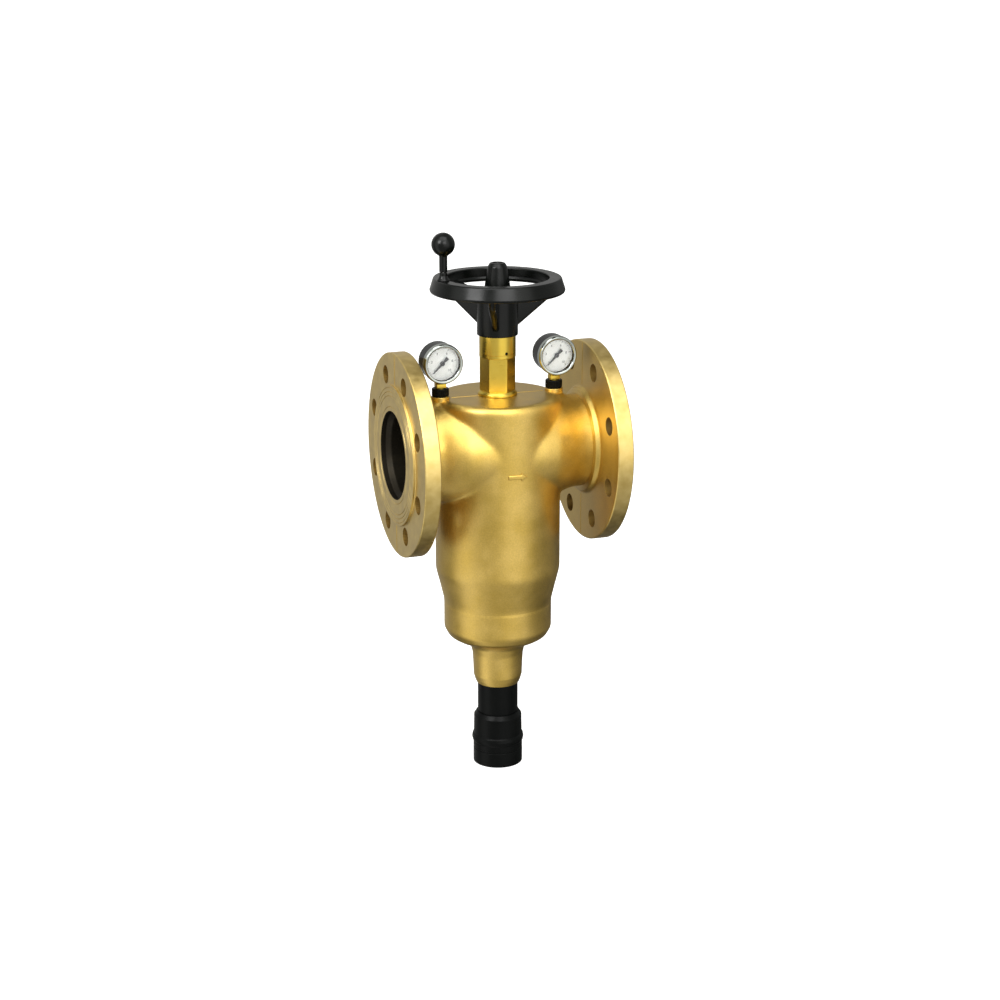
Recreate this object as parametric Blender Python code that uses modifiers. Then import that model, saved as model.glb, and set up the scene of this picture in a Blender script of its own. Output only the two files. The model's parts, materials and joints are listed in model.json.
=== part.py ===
"""Manual backwash filter DN 80: flanged bronze body, screen, turning suction nozzles and drain valve.

The origin is where the pipe axis crosses the body axis. +Z is up, +X is the outlet side, and the
gauges look towards -Y. Sizes are in millimetres; the helpers below turn them into metres.
"""
import math

import bmesh
import bpy
from mathutils import Matrix, Vector

MM = 0.001
GAP = 0.3                      # clearance between neighbouring pieces

# ---- housing: one bronze casting ----
BODY_R = 62.0                  # outside radius of the body
BODY_TOP = 53.0                # flat top of the body
BODY_EDGE = 7.5                # rounding of its top edge
BODY_TAPER_TOP = -122.0        # the body narrows below this height
BODY_FOOT_R = 53.7             # radius where the bowl joins
BODY_FOOT_Z = -158.0
CAVITY_R = 55.0
CAVITY_TOP = 44.0
CAVITY_FOOT_R = 46.5
BOWL_SOCKET_R = 50.0           # counterbore that takes the bowl's spigot
BOWL_SOCKET_TOP = -143.7

# ---- flanges DN 80 PN 16 and their nozzles ----
FACE_X = 107.0                 # raised face from the body axis: 214 face to face
RAISED_R = 69.0
RAISED_H = 2.5
FLANGE_R = 100.0
FLANGE_T = 16.2
BOLT_CIRCLE_R = 80.0
BOLT_HOLE_R = 9.0
BOLT_COUNT = 8
NOZZLE_R = 46.0
NOZZLE_ROOT_R = 58.0           # where the nozzle has melted into the body's front
BORE_MOUTH_R = 43.4
BORE_R = 40.0
COLLAR_R = 41.5                # inner collar that feeds the inlet sleeve
COLLAR_BORE_R = 36.0

# ---- bowl, drain seat, drain pipe and socket ----
BOWL_R = 53.8
BOWL_CAVITY_R = 40.0
BOWL_FLOOR = -192.6
SPIGOT_R = 49.6
SPIGOT_TOP = -146.0
SEAT_BORE_R = 16.3
SEAT_SHOULDER = -216.3
SEAT_R = 11.0
SEAT_FACE = -210.0
NECK_FOOT = -245.5
PIPE_SOCKET_TOP = -224.0
PIPE_R = 20.3
PIPE_BORE_R = 14.5
PIPE_FOOT = -295.7
SOCKET_TOP = -277.0
SOCKET_R = 24.5
SOCKET_STOP = -296.0
SOCKET_FOOT = -331.5
SOCKET_BORE_R = 21.2

# ---- inlet sleeve and screen ----
SLEEVE_R = 44.0
SLEEVE_BORE_R = 41.0
SLEEVE_FOOT = -52.0
CAGE_R = 42.0
CAGE_BORE_R = 39.2
SCREEN_R = 38.8
SCREEN_BORE_R = 38.0
SCREEN_TOP = -60.0
SCREEN_FOOT = -146.3
SCREEN_WINDOW_ROWS = 3
SCREEN_WINDOW_COLUMNS = 6

# ---- bonnet, spindle and rotor ----
BONNET_SPIGOT_R = 14.0
HEX_FLATS = 30.3
HEX_FOOT = 57.0
HEX_TOP = 91.0
BONNET_COLLAR_R = 17.8
BONNET_TOP = 127.0
SPINDLE_R = 6.7
SPINDLE_FOOT = -64.0
SPINDLE_NECK = 128.0
ROTOR_R = 9.0
ROTOR_BORE_R = 7.0
ROTOR_TOP = -46.0
ROTOR_FOOT = -200.0
CHAMBER_R = 16.0
CHAMBER_BORE_R = 14.2
CHAMBER_TOP = -168.0
SUCTION_REACH = 36.6
SUCTION_HEIGHTS = (-84.5, -102.0, -119.5, -137.0)

# ---- handwheel and crank grip ----
HUB_R = 20.0
HUB_FOOT = 112.5
HUB_TOP = 152.0
HUB_SKIRT_TOP = 128.5
RIM_TOP = 169.0
RIM_R = 65.6
RIM_INNER_R = 50.0
SPOKE_ANGLES = (-113.9, 6.1, 126.1)
SPOKE_WIDTH = 7.0
CAP_TOP = 182.8
GRIP_ANGLE = 183.0
GRIP_OFFSET = 55.5
GRIP_FOOT = 179.0
BALL_R = 11.3
BALL_Z = 203.7

# ---- pressure gauges ----
GAUGE_X = 58.5
GAUGE_Z = 89.2
GAUGE_R = 19.6
BOSS_R = 9.0
BOSS_TOP = 55.5
POINTER_REST = 225.0           # degrees round the dial, from +X upwards

# ---- how round the turned pieces are ----
LARGE, MEDIUM, SMALL, TINY = 32, 24, 16, 12


# ---------------------------------------------------------------- helpers

def clear_scene():
    for item in list(bpy.data.objects):
        bpy.data.objects.remove(item, do_unlink=True)


def make_collection(name):
    collection = bpy.data.collections.new(name)
    bpy.context.scene.collection.children.link(collection)
    return collection


def material(name, colour, roughness, metallic):
    """Principled material; colour is linear RGB with alpha."""
    if name in bpy.data.materials:
        return bpy.data.materials[name]
    made = bpy.data.materials.new(name)
    made.use_nodes = True
    made.diffuse_color = colour
    shader = made.node_tree.nodes["Principled BSDF"]
    shader.inputs["Base Color"].default_value = colour
    shader.inputs["Roughness"].default_value = roughness
    shader.inputs["Metallic"].default_value = metallic
    shader.inputs["Alpha"].default_value = colour[3]
    return made


def add_object(name, mesh, finish=None):
    """Put a mesh in the parts collection, or among the cutters when it has no finish."""
    made = bpy.data.objects.new(name, mesh)
    if finish is None:
        CUTTERS.objects.link(made)
        made.hide_render = True
        made.display_type = 'WIRE'
    else:
        PARTS.objects.link(made)
        mesh.materials.append(finish)
    return made


def arc(centre, radius, start, end, steps):
    """Points (r, z) on an arc, angles in degrees."""
    points = []
    for i in range(steps + 1):
        angle = math.radians(start + (end - start) * i / steps)
        points.append((centre[0] + radius * math.cos(angle), centre[1] + radius * math.sin(angle)))
    return points


def turned(name, profile, segments, finish=None, closed=False, axis='Z', centre=(0, 0, 0)):
    """Turn a profile of (radius, height) points, outer side from top to bottom, round an axis.

    An open profile starts and ends on the axis. A closed one makes a ring.
    """
    points = [Vector((r * MM, 0, z * MM)) for r, z in profile]
    edges = [(i, i + 1) for i in range(len(points) - 1)]
    if closed:
        edges.append((len(points) - 1, 0))
    mesh = bpy.data.meshes.new(name)
    mesh.from_pydata(points, edges, [])
    made = add_object(name, mesh, finish)
    made.location = Vector(centre) * MM
    if axis == 'X':
        made.rotation_euler = (0, math.radians(90), 0)
    if axis == 'Y':
        made.rotation_euler = (math.radians(-90), 0, 0)
    screw = made.modifiers.new("turn", 'SCREW')
    screw.steps = screw.render_steps = segments
    screw.use_merge_vertices = True
    screw.merge_threshold = 0.00001
    screw.use_smooth_shade = False
    return made


def ring(name, outer, inner, top, foot, segments, finish=None, axis='Z', centre=(0, 0, 0)):
    profile = [(inner, top), (outer, top), (outer, foot), (inner, foot)]
    return turned(name, profile, segments, finish, True, axis, centre)


def rod(name, radius, top, foot, segments, finish=None, axis='Z', centre=(0, 0, 0)):
    profile = [(0, top), (radius, top), (radius, foot), (0, foot)]
    return turned(name, profile, segments, finish, False, axis, centre)


def block(name, size, centre, finish=None, turn=0.0):
    """Box of a size, turned about Z by some degrees."""
    mesh = bpy.data.meshes.new(name)
    shape = bmesh.new()
    bmesh.ops.create_cube(shape, size=1.0)
    bmesh.ops.scale(shape, vec=Vector(size) * MM, verts=shape.verts)
    shape.to_mesh(mesh)
    shape.free()
    made = add_object(name, mesh, finish)
    made.location = Vector(centre) * MM
    made.rotation_euler = (0, 0, math.radians(turn))
    return made


def plate(name, outline, thickness, finish=None, plane='XZ', centre=(0, 0, 0), turn=0.0):
    """Flat outline in the plane, as a solid of some thickness about its middle."""
    half = thickness / 2
    mesh = bpy.data.meshes.new(name)
    shape = bmesh.new()
    corners = []
    for u, v in outline:
        point = (u, half, v) if plane == 'XZ' else (u, v, -half)
        corners.append(shape.verts.new(Vector(point) * MM))
    face = shape.faces.new(corners)
    travel = (0, -thickness, 0) if plane == 'XZ' else (0, 0, thickness)
    grown = bmesh.ops.extrude_face_region(shape, geom=[face])
    moved = [item for item in grown["geom"] if isinstance(item, bmesh.types.BMVert)]
    bmesh.ops.translate(shape, verts=moved, vec=Vector(travel) * MM)
    bmesh.ops.recalc_face_normals(shape, faces=shape.faces)
    shape.to_mesh(mesh)
    shape.free()
    made = add_object(name, mesh, finish)
    made.location = Vector(centre) * MM
    made.rotation_euler = (0, 0, math.radians(turn))
    return made


def drills(name, holes, segments):
    """One cutter of separate cylinders; each hole is (centre, direction, radius, length)."""
    mesh = bpy.data.meshes.new(name)
    shape = bmesh.new()
    for centre, direction, radius, length in holes:
        place = Matrix.Translation(Vector(centre) * MM)
        place = place @ Vector(direction).to_track_quat('Z', 'Y').to_matrix().to_4x4()
        bmesh.ops.create_cone(shape, cap_ends=True, segments=segments, radius1=radius * MM,
                              radius2=radius * MM, depth=length * MM, matrix=place)
    shape.to_mesh(mesh)
    shape.free()
    return add_object(name, mesh)


def combine(target, tool, operation):
    boolean = target.modifiers.new(operation.lower() + "_" + tool.name, 'BOOLEAN')
    boolean.object = tool
    boolean.operation = operation
    boolean.solver = 'EXACT'


def cut(target, *tools):
    for tool in tools:
        combine(target, tool, 'DIFFERENCE')


def join(target, *tools):
    for tool in tools:
        combine(target, tool, 'UNION')


def polar(radius, degrees, z=0.0):
    angle = math.radians(degrees)
    return (radius * math.cos(angle), radius * math.sin(angle), z)


def hold(parent, *pieces):
    """Parent pieces to an empty and leave them where they are."""
    for piece in pieces:
        piece.parent = parent
        piece.matrix_parent_inverse = Matrix.Translation(-parent.location)


def pivot(name, place):
    made = bpy.data.objects.new(name, None)
    PARTS.objects.link(made)
    made.location = Vector(place) * MM
    return made


# ---------------------------------------------------------------- housing

def body_form():
    edge = arc((BODY_R - BODY_EDGE, BODY_TOP - BODY_EDGE), BODY_EDGE, 90, 0, 4)
    profile = [(0, BODY_TOP)] + edge
    profile += [(BODY_R, BODY_TAPER_TOP), (58.2, -137.0), (BODY_FOOT_R, BODY_FOOT_Z), (0, BODY_FOOT_Z)]
    return profile


def pipe_form():
    """Half of the flanged through pipe, from the raised face to the middle, as (radius, x)."""
    back = FACE_X - RAISED_H - FLANGE_T
    half = [(RAISED_R, FACE_X), (RAISED_R, FACE_X - RAISED_H), (FLANGE_R, FACE_X - RAISED_H)]
    half += [(FLANGE_R, back), (51.0, back), (50.0, back - 3.5), (NOZZLE_R, back - 6.0)]
    half += [(NOZZLE_R, 76.0), (51.5, 58.0), (57.0, 42.0), (NOZZLE_ROOT_R, 25.0)]
    return half


def flanged_pipe(name):
    half = pipe_form()
    mirrored = [(r, -x) for r, x in reversed(half)]
    return turned(name, [(0, FACE_X)] + half + mirrored + [(0, -FACE_X)], LARGE, axis='X')


def bore_tool(name, side):
    """Bore from one flange face into the cavity; the inlet narrows in the collar."""
    inner = COLLAR_BORE_R if side < 0 else BORE_R
    profile = [(0, FACE_X + 1), (BORE_MOUTH_R, FACE_X + 1), (BORE_MOUTH_R, FACE_X - 4)]
    profile += [(BORE_R, FACE_X - 9), (BORE_R, 62.0), (inner, 58.0), (inner, 20.0), (0, 20.0)]
    if side < 0:
        profile = [(r, -x) for r, x in reversed(profile)]
    return turned(name, profile, MEDIUM, axis='X')


def bolt_hole_tool(name):
    holes = []
    for side in (-1, 1):
        for i in range(BOLT_COUNT):
            y, z, _ = polar(BOLT_CIRCLE_R, (i + 0.5) * 360 / BOLT_COUNT)
            holes.append(((side * (FACE_X - RAISED_H - FLANGE_T / 2), y, z), (1, 0, 0), BOLT_HOLE_R, 30))
    return drills(name, holes, TINY)


def flow_arrow(name):
    outline = [(-9.7, -2.1), (3.0, -2.1), (3.0, -4.2), (9.7, 0), (3.0, 4.2), (3.0, 2.1), (-9.7, 2.1)]
    return plate(name, outline, 6.0, centre=(0, -BODY_R + 2.0, -16.0))


def make_housing():
    housing = turned("housing", body_form(), LARGE, BRONZE)
    bosses = [rod(side + "_gauge_boss_form", BOSS_R, BOSS_TOP, 30, SMALL, centre=(x, 0, 0))
              for side, x in (("inlet", -GAUGE_X), ("outlet", GAUGE_X))]
    join(housing, flanged_pipe("pipe_form"))
    cut(housing, block("top_face_tool", (140, 140, 20), (0, 0, BODY_TOP + 10)))
    join(housing, *bosses, flow_arrow("flow_arrow_form"))
    cavity = [(0, CAVITY_TOP), (CAVITY_R, CAVITY_TOP), (CAVITY_R, -124.0), (CAVITY_FOOT_R, BOWL_SOCKET_TOP)]
    cavity += [(BOWL_SOCKET_R, BOWL_SOCKET_TOP), (BOWL_SOCKET_R, BODY_FOOT_Z - 1), (0, BODY_FOOT_Z - 1)]
    cut(housing, turned("cavity_tool", cavity, LARGE))
    collar = ring("inlet_collar_form", COLLAR_R, COLLAR_BORE_R - 2, -40.0, -58.0, MEDIUM, axis='X')
    join(housing, collar)
    cut(housing, rod("sleeve_room_tool", SLEEVE_R + GAP, CAVITY_TOP - 1, SLEEVE_FOOT, LARGE))
    cut(housing, bore_tool("inlet_bore_tool", -1), bore_tool("outlet_bore_tool", 1))
    top_hole = ((0, 0, BODY_TOP), (0, 0, 1), BONNET_SPIGOT_R + GAP, 30)
    cut(housing, drills("bonnet_hole_tool", [top_hole], MEDIUM))
    taps = [((x, 0, BOSS_TOP), (0, 0, 1), 5.9, 26) for x in (-GAUGE_X, GAUGE_X)]
    cut(housing, drills("gauge_tap_tool", taps, TINY), bolt_hole_tool("bolt_hole_tool"))


# ---------------------------------------------------------------- bowl and drain

def make_bowl():
    outer = [(44.4, SPIGOT_TOP), (SPIGOT_R, SPIGOT_TOP), (SPIGOT_R, BODY_FOOT_Z - GAP)]
    outer += [(BOWL_R, BODY_FOOT_Z - GAP), (BOWL_R, -182.0), (52.8, -187.0), (49.8, -191.6)]
    outer += [(44.8, -195.2), (38.0, -197.9), (32.4, -200.2), (29.4, -204.4), (27.0, -212.0)]
    outer += [(25.4, -222.0), (24.3, -234.0), (23.2, -240.0), (PIPE_R + GAP * 4, NECK_FOOT)]
    inner = [(PIPE_R + GAP, NECK_FOOT), (PIPE_R + GAP, PIPE_SOCKET_TOP), (12.5, PIPE_SOCKET_TOP)]
    inner += [(12.5, SEAT_SHOULDER), (SEAT_BORE_R, SEAT_SHOULDER), (SEAT_BORE_R, BOWL_FLOOR)]
    inner += [(33.0, BOWL_FLOOR), (BOWL_CAVITY_R, -186.0), (BOWL_CAVITY_R, -152.0), (44.4, -152.0)]
    turned("bottom_bowl", outer + inner, LARGE, BRONZE, closed=True)
    ring("bowl_seal_ring", SPIGOT_R, 46.9, BOWL_SOCKET_TOP - GAP, SPIGOT_TOP + GAP, LARGE, RUBBER)


def make_drain():
    ring("drain_seat", CHAMBER_R, SEAT_R, SEAT_FACE, SEAT_SHOULDER + GAP, SMALL, BRASS)
    chamber = [(11.4, CHAMBER_TOP), (CHAMBER_R, CHAMBER_TOP), (CHAMBER_R, SEAT_FACE + GAP)]
    chamber += [(CHAMBER_BORE_R, SEAT_FACE + GAP), (CHAMBER_BORE_R, CHAMBER_TOP - 3), (11.4, CHAMBER_TOP - 3)]
    turned("drain_chamber", chamber, SMALL, BRASS, closed=True)
    bush = [(ROTOR_R + GAP, -165.0), (13.5, -165.0), (13.5, CHAMBER_TOP + GAP), (11.1, CHAMBER_TOP + GAP)]
    bush += [(11.1, -173.0), (ROTOR_R + GAP, -173.0)]
    turned("rotor_guide_bush", bush, SMALL, WHITE_PLASTIC, closed=True)
    ring("drain_pipe", PIPE_R, PIPE_BORE_R, PIPE_SOCKET_TOP - GAP, PIPE_FOOT, MEDIUM, BLACK_PLASTIC)


def make_socket():
    outer = [(PIPE_R + GAP, SOCKET_TOP), (21.2, SOCKET_TOP), (24.3, SOCKET_TOP - 4.5), (SOCKET_R, -301.5)]
    outer += arc((22.6, -305.0), 3.7, 42, -42, 3) + [(24.9, -309.0), (24.9, SOCKET_FOOT)]
    inner = [(SOCKET_BORE_R, SOCKET_FOOT), (SOCKET_BORE_R, -308.0), (24.0, -308.0), (24.0, -302.0)]
    inner += [(SOCKET_BORE_R, -302.0), (SOCKET_BORE_R, -299.5), (17.0, -299.5), (17.0, SOCKET_STOP)]
    inner += [(PIPE_R + GAP, SOCKET_STOP)]
    turned("drain_socket", outer + inner, MEDIUM, BLACK_PLASTIC, closed=True)
    lip = [(21.0, -302.3), (23.7, -302.3), (23.7, -307.7), (20.4, -307.7)]
    turned("drain_lip_seal", lip, MEDIUM, RUBBER, closed=True)


def make_drain_valve():
    """Valve disc that slides in the seat; it does not turn, and hangs on the rotor's foot."""
    profile = [(0, -186.0), (4.4, -186.0), (4.4, -189.0), (3.0, -189.0), (3.0, -203.5), (13.5, -203.5)]
    profile += [(13.5, -208.5), (10.9, -208.5), (8.5, -212.0), (0, -212.0)]
    disc = turned("drain_valve_disc", profile, SMALL, BRASS)
    vanes = [block("valve_vane_form_" + str(i), (20.4, 2.4, 12.0), (0, 0, -216.0), turn=i * 90)
             for i in range(2)]
    join(disc, *vanes)
    seal = ring("drain_valve_seal", 13.3, 11.2, -208.8, SEAT_FACE + GAP, SMALL, RUBBER)
    hold(pivot("drain_plug_slide", (0, 0, SEAT_FACE)), disc, seal)


# ---------------------------------------------------------------- sleeve and screen

def make_sleeve():
    sleeve = ring("inlet_sleeve", SLEEVE_R, SLEEVE_BORE_R, CAVITY_TOP - 2.3, SLEEVE_FOOT, LARGE, STEEL)
    window = ((-45, 0, 0), (1, 0, 0), COLLAR_BORE_R, 30)
    cut(sleeve, drills("sleeve_window_tool", [window], MEDIUM))
    ring("sleeve_seal_ring", SLEEVE_R, SLEEVE_BORE_R, CAVITY_TOP - GAP, CAVITY_TOP - 2, LARGE, RUBBER)


def make_screen():
    cage = ring("screen_cage", CAGE_R, CAGE_BORE_R, SCREEN_TOP, SCREEN_FOOT, LARGE, WHITE_PLASTIC)
    pitch = (SCREEN_TOP - SCREEN_FOOT) / SCREEN_WINDOW_ROWS
    mesh = bpy.data.meshes.new("cage_window_tool")
    shape = bmesh.new()
    for row in range(SCREEN_WINDOW_ROWS):
        for column in range(SCREEN_WINDOW_COLUMNS):
            angle = (column + 0.5) * 360 / SCREEN_WINDOW_COLUMNS
            place = Matrix.Rotation(math.radians(angle), 4, 'Z')
            place = place @ Matrix.Translation(Vector((40.0, 0, SCREEN_TOP - (row + 0.5) * pitch)) * MM)
            size = Matrix.Diagonal(Vector((16.0, 34.0, pitch - 6.0, 1000.0)) * MM)
            bmesh.ops.create_cube(shape, size=1.0, matrix=place @ size)
    shape.to_mesh(mesh)
    shape.free()
    cut(cage, add_object("cage_window_tool", mesh))
    ring("screen_mesh", SCREEN_R, SCREEN_BORE_R, SCREEN_TOP, SCREEN_FOOT, LARGE, STEEL)
    ring("screen_top_ring", 43.4, 36.0, SLEEVE_FOOT - 2.4, SCREEN_TOP + GAP, LARGE, WHITE_PLASTIC)
    ring("screen_seal_ring", 43.4, 41.4, SLEEVE_FOOT - GAP, SLEEVE_FOOT - 2.1, LARGE, RUBBER)
    ring("screen_bottom_ring", 44.1, 36.0, SCREEN_FOOT - GAP, -151.7, LARGE, WHITE_PLASTIC)


# ---------------------------------------------------------------- bonnet

def make_bonnet():
    profile = [(0, BONNET_TOP), (BONNET_COLLAR_R - 1, BONNET_TOP), (BONNET_COLLAR_R, BONNET_TOP - 1)]
    profile += [(BONNET_COLLAR_R, HEX_TOP), (14.0, HEX_TOP), (14.0, HEX_FOOT), (18.5, HEX_FOOT)]
    profile += [(18.5, BODY_TOP + 1.8), (BONNET_SPIGOT_R, BODY_TOP + 1.8), (BONNET_SPIGOT_R, 38.6), (0, 38.6)]
    bonnet = turned("bonnet", profile, MEDIUM, BRASS)
    corner = HEX_FLATS / math.sqrt(3)
    hexagon = rod("bonnet_hexagon_form", corner, HEX_TOP + 1, HEX_FOOT - 1, 6)
    hexagon.rotation_euler = (0, 0, math.radians(-108.9 + 2.5 + 30))
    join(bonnet, hexagon)
    bore = SPINDLE_R + GAP
    inside = [(0, BONNET_TOP + 1), (bore, BONNET_TOP + 1), (bore, 121.3), (10.0, 121.3), (10.0, 117.7)]
    inside += [(bore, 117.7), (bore, 37.0), (0, 37.0)]
    screw_way = polar(1, -79.0)
    lock = (Vector(polar(BONNET_COLLAR_R - 3, -79.0, 96.3)), screw_way, 1.6, 8)
    cut(bonnet, turned("bonnet_bore_tool", inside, SMALL), drills("lock_screw_tool", [lock], TINY))
    ring("bonnet_gasket", 18.3, BONNET_SPIGOT_R + GAP, BODY_TOP + 1.5, BODY_TOP + GAP, MEDIUM, RUBBER)
    ring("spindle_seal_ring", 9.7, SPINDLE_R + GAP, 121.0, 118.0, SMALL, RUBBER)
    screw = rod("bonnet_lock_screw", 1.3, 2.5, -2.5, TINY, STEEL)
    screw.rotation_euler = Vector(screw_way).to_track_quat('Z', 'Y').to_euler()
    screw.location = Vector(polar(BONNET_COLLAR_R - 3.8, -79.0, 96.3)) * MM


# ---------------------------------------------------------------- turning set

def make_spindle():
    neck = 6.0
    profile = [(0, 157.5), (neck, 157.5), (neck, SPINDLE_NECK), (SPINDLE_R, SPINDLE_NECK)]
    profile += [(SPINDLE_R, SPINDLE_FOOT), (0, SPINDLE_FOOT)]
    spindle = turned("spindle", profile, SMALL, STEEL)
    pin_hole = ((0, 0, -55), (0, 1, 0), 2.3, 30)
    tool = drills("rotor_pin_tool", [pin_hole], TINY)
    cut(spindle, tool)
    tube = ring("rotor_tube", ROTOR_R, ROTOR_BORE_R, ROTOR_TOP, ROTOR_FOOT, SMALL, STEEL)
    taps = []
    for i, z in enumerate(SUCTION_HEIGHTS):
        taps.append((polar(8.0, i * 90, z), polar(1, i * 90), 4.8, 8))
    cut(tube, tool, drills("suction_tap_tool", taps, TINY))
    pin = rod("rotor_pin", 2.0, ROTOR_R - 0.4, -ROTOR_R + 0.4, TINY, STEEL, axis='Y', centre=(0, 0, -55))
    return [spindle, tube, pin]


def make_suction_nozzle(number, degrees, height):
    """Radial nozzle with a bell mouth that skims the inside of the screen."""
    outer = [(6.5, SUCTION_REACH), (8.0, SUCTION_REACH), (8.0, 33.5), (4.5, 27.0), (4.5, 9.4 - GAP * 3)]
    inner = [(3.0, 9.4 - GAP * 3), (3.0, 28.0)]
    nozzle = turned("suction_nozzle_" + str(number), outer + inner, TINY, WHITE_PLASTIC, closed=True)
    nozzle.rotation_euler = (0, math.radians(90), math.radians(degrees))
    nozzle.location = (0, 0, height * MM)
    return nozzle


def make_rotor_foot():
    """Three-armed foot in the end of the tube; the valve disc's stem hangs in its middle."""
    foot = ring("rotor_foot", 5.2, 3.3, -189.3, -193.3, SMALL, BRASS)
    arms = [block("foot_arm_form_" + str(i), (2.6, 1.6, 3.6), polar(5.2, i * 120, -191.3), turn=i * 120)
            for i in range(3)]
    join(foot, *arms)
    hollow = rod("foot_bore_tool", 3.3, -180.0, -200.0, SMALL)
    cut(foot, hollow)
    return foot


def wheel_rim_form():
    outer = [(61.7, RIM_TOP), (63.2, RIM_TOP - 1.2), (RIM_R, 157.5), (RIM_R - 0.8, 155.0)]
    under = [(61.0, 153.8), (53.0, 155.0), (49.2, 156.4), (49.2, 158.4)]
    return [(RIM_INNER_R + 0.8, RIM_TOP)] + outer + under + [(RIM_INNER_R, 159.4), (RIM_INNER_R, RIM_TOP - 1)]


def make_handwheel():
    profile = [(0, HUB_TOP), (16.5, HUB_TOP), (19.2, HUB_TOP - 1.8), (HUB_R, HUB_TOP - 5)]
    profile += [(HUB_R, HUB_FOOT), (18.2, HUB_FOOT), (18.2, HUB_SKIRT_TOP), (0, HUB_SKIRT_TOP)]
    wheel = turned("handwheel", profile, MEDIUM, BLACK_GLOSS)
    web = [(18.6, 118.6), (52.0, 141.8), (59.0, 148.5), (62.0, 156.5), (51.0, 160.5), (18.6, 151.5)]
    for i, angle in enumerate(SPOKE_ANGLES):
        join(wheel, plate("spoke_form_" + str(i), web, SPOKE_WIDTH, turn=angle))
    join(wheel, turned("rim_form", wheel_rim_form(), LARGE, closed=True))
    grip_place = polar(GRIP_OFFSET, GRIP_ANGLE, 160)
    holes = [((0, 0, 140), (0, 0, 1), 6.3, 40), (grip_place, (0, 0, 1), 2.6, 40)]
    cut(wheel, drills("wheel_hole_tool", holes, SMALL))
    return wheel


def make_hub_cap():
    outer = [(0, CAP_TOP), (5.5, CAP_TOP - 0.2), (8.2, CAP_TOP - 1.2), (9.1, CAP_TOP - 3.4)]
    outer += [(12.7, 158.0), (12.7, HUB_TOP + GAP)]
    inner = [(9.6, HUB_TOP + GAP), (9.6, 160.0), (0, 160.0)]
    return turned("hub_cap", outer + inner, SMALL, BLACK_GLOSS)


def make_hub_nut():
    nut = rod("hub_nut", 13.0 / math.sqrt(3), 157.0, HUB_TOP + GAP, 6, STEEL)
    cut(nut, drills("nut_hole_tool", [((0, 0, 155), (0, 0, 1), 6.3, 12)], SMALL))
    return nut


def make_crank():
    """Flared foot and pin on the rim, and the ball grip that turns on the pin."""
    x, y, _ = polar(GRIP_OFFSET, GRIP_ANGLE)
    foot = [(2.3, 177.0), (3.6, 177.0), (4.2, 172.5), (6.4, RIM_TOP + GAP), (2.3, RIM_TOP + GAP)]
    crank_foot = turned("crank_foot", foot, SMALL, BLACK_GLOSS, closed=True, centre=(x, y, 0))
    pin = [(0, 197.0), (2.0, 197.0), (2.0, 152.0), (0, 152.0)]
    crank_pin = turned("crank_pin", pin, TINY, STEEL, centre=(x, y, 0))
    stem_r = 3.9
    join_angle = math.degrees(math.asin(stem_r / BALL_R))
    ball = arc((0, BALL_Z), BALL_R, 90, -90 + join_angle, 9)
    grip = [(0.0, BALL_Z + BALL_R)] + ball[1:] + [(stem_r, GRIP_FOOT), (2.3, GRIP_FOOT)]
    grip += [(2.3, 198.0), (0, 198.0)]
    crank_grip = turned("crank_grip", grip, SMALL, BLACK_GLOSS, centre=(x, y, 0))
    return crank_foot, crank_pin, crank_grip


def make_turning_set():
    axis = pivot("handwheel_axis", (0, 0, 0))
    hold(axis, *make_spindle(), make_rotor_foot(), make_handwheel(), make_hub_cap(), make_hub_nut())
    for i, z in enumerate(SUCTION_HEIGHTS):
        hold(axis, make_suction_nozzle(i + 1, i * 90, z))
    foot, pin, grip = make_crank()
    hold(axis, foot, pin)
    hold(pivot("crank_grip_axis", polar(GRIP_OFFSET, GRIP_ANGLE)), grip)


# ---------------------------------------------------------------- gauges

def make_gauge_shell(side, centre):
    """Case, bezel, window and dial, turned about an axis along Y; height counts towards +Y."""
    case = [(0, 12.0), (17.0, 12.0), (18.8, 10.2), (18.8, -8.7), (16.9, -8.7), (16.9, 10.2), (0, 10.2)]
    shell = turned(side + "_gauge_case", case, MEDIUM, BLACK_PLASTIC, axis='Y', centre=centre)
    entry = ((centre[0], 0, centre[2] - 18), (0, 0, 1), 5.3, 8)
    cut(shell, drills(side + "_stem_entry_tool", [entry], TINY))
    bezel = [(19.1, -6.5), (GAUGE_R, -6.5), (GAUGE_R, -11.6), (18.6, -13.0), (16.4, -13.0), (16.4, -12.4)]
    bezel += [(17.4, -12.4), (17.4, -9.0), (19.1, -9.0)]
    turned(side + "_gauge_bezel", bezel, MEDIUM, STEEL, closed=True, axis='Y', centre=centre)
    rod(side + "_gauge_window", 17.1, -10.9, -12.1, MEDIUM, GLASS, axis='Y', centre=centre)
    ring(side + "_gauge_dial", 16.6, 1.6, -5.4, -6.0, MEDIUM, WHITE_PLASTIC, axis='Y', centre=centre)


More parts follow.
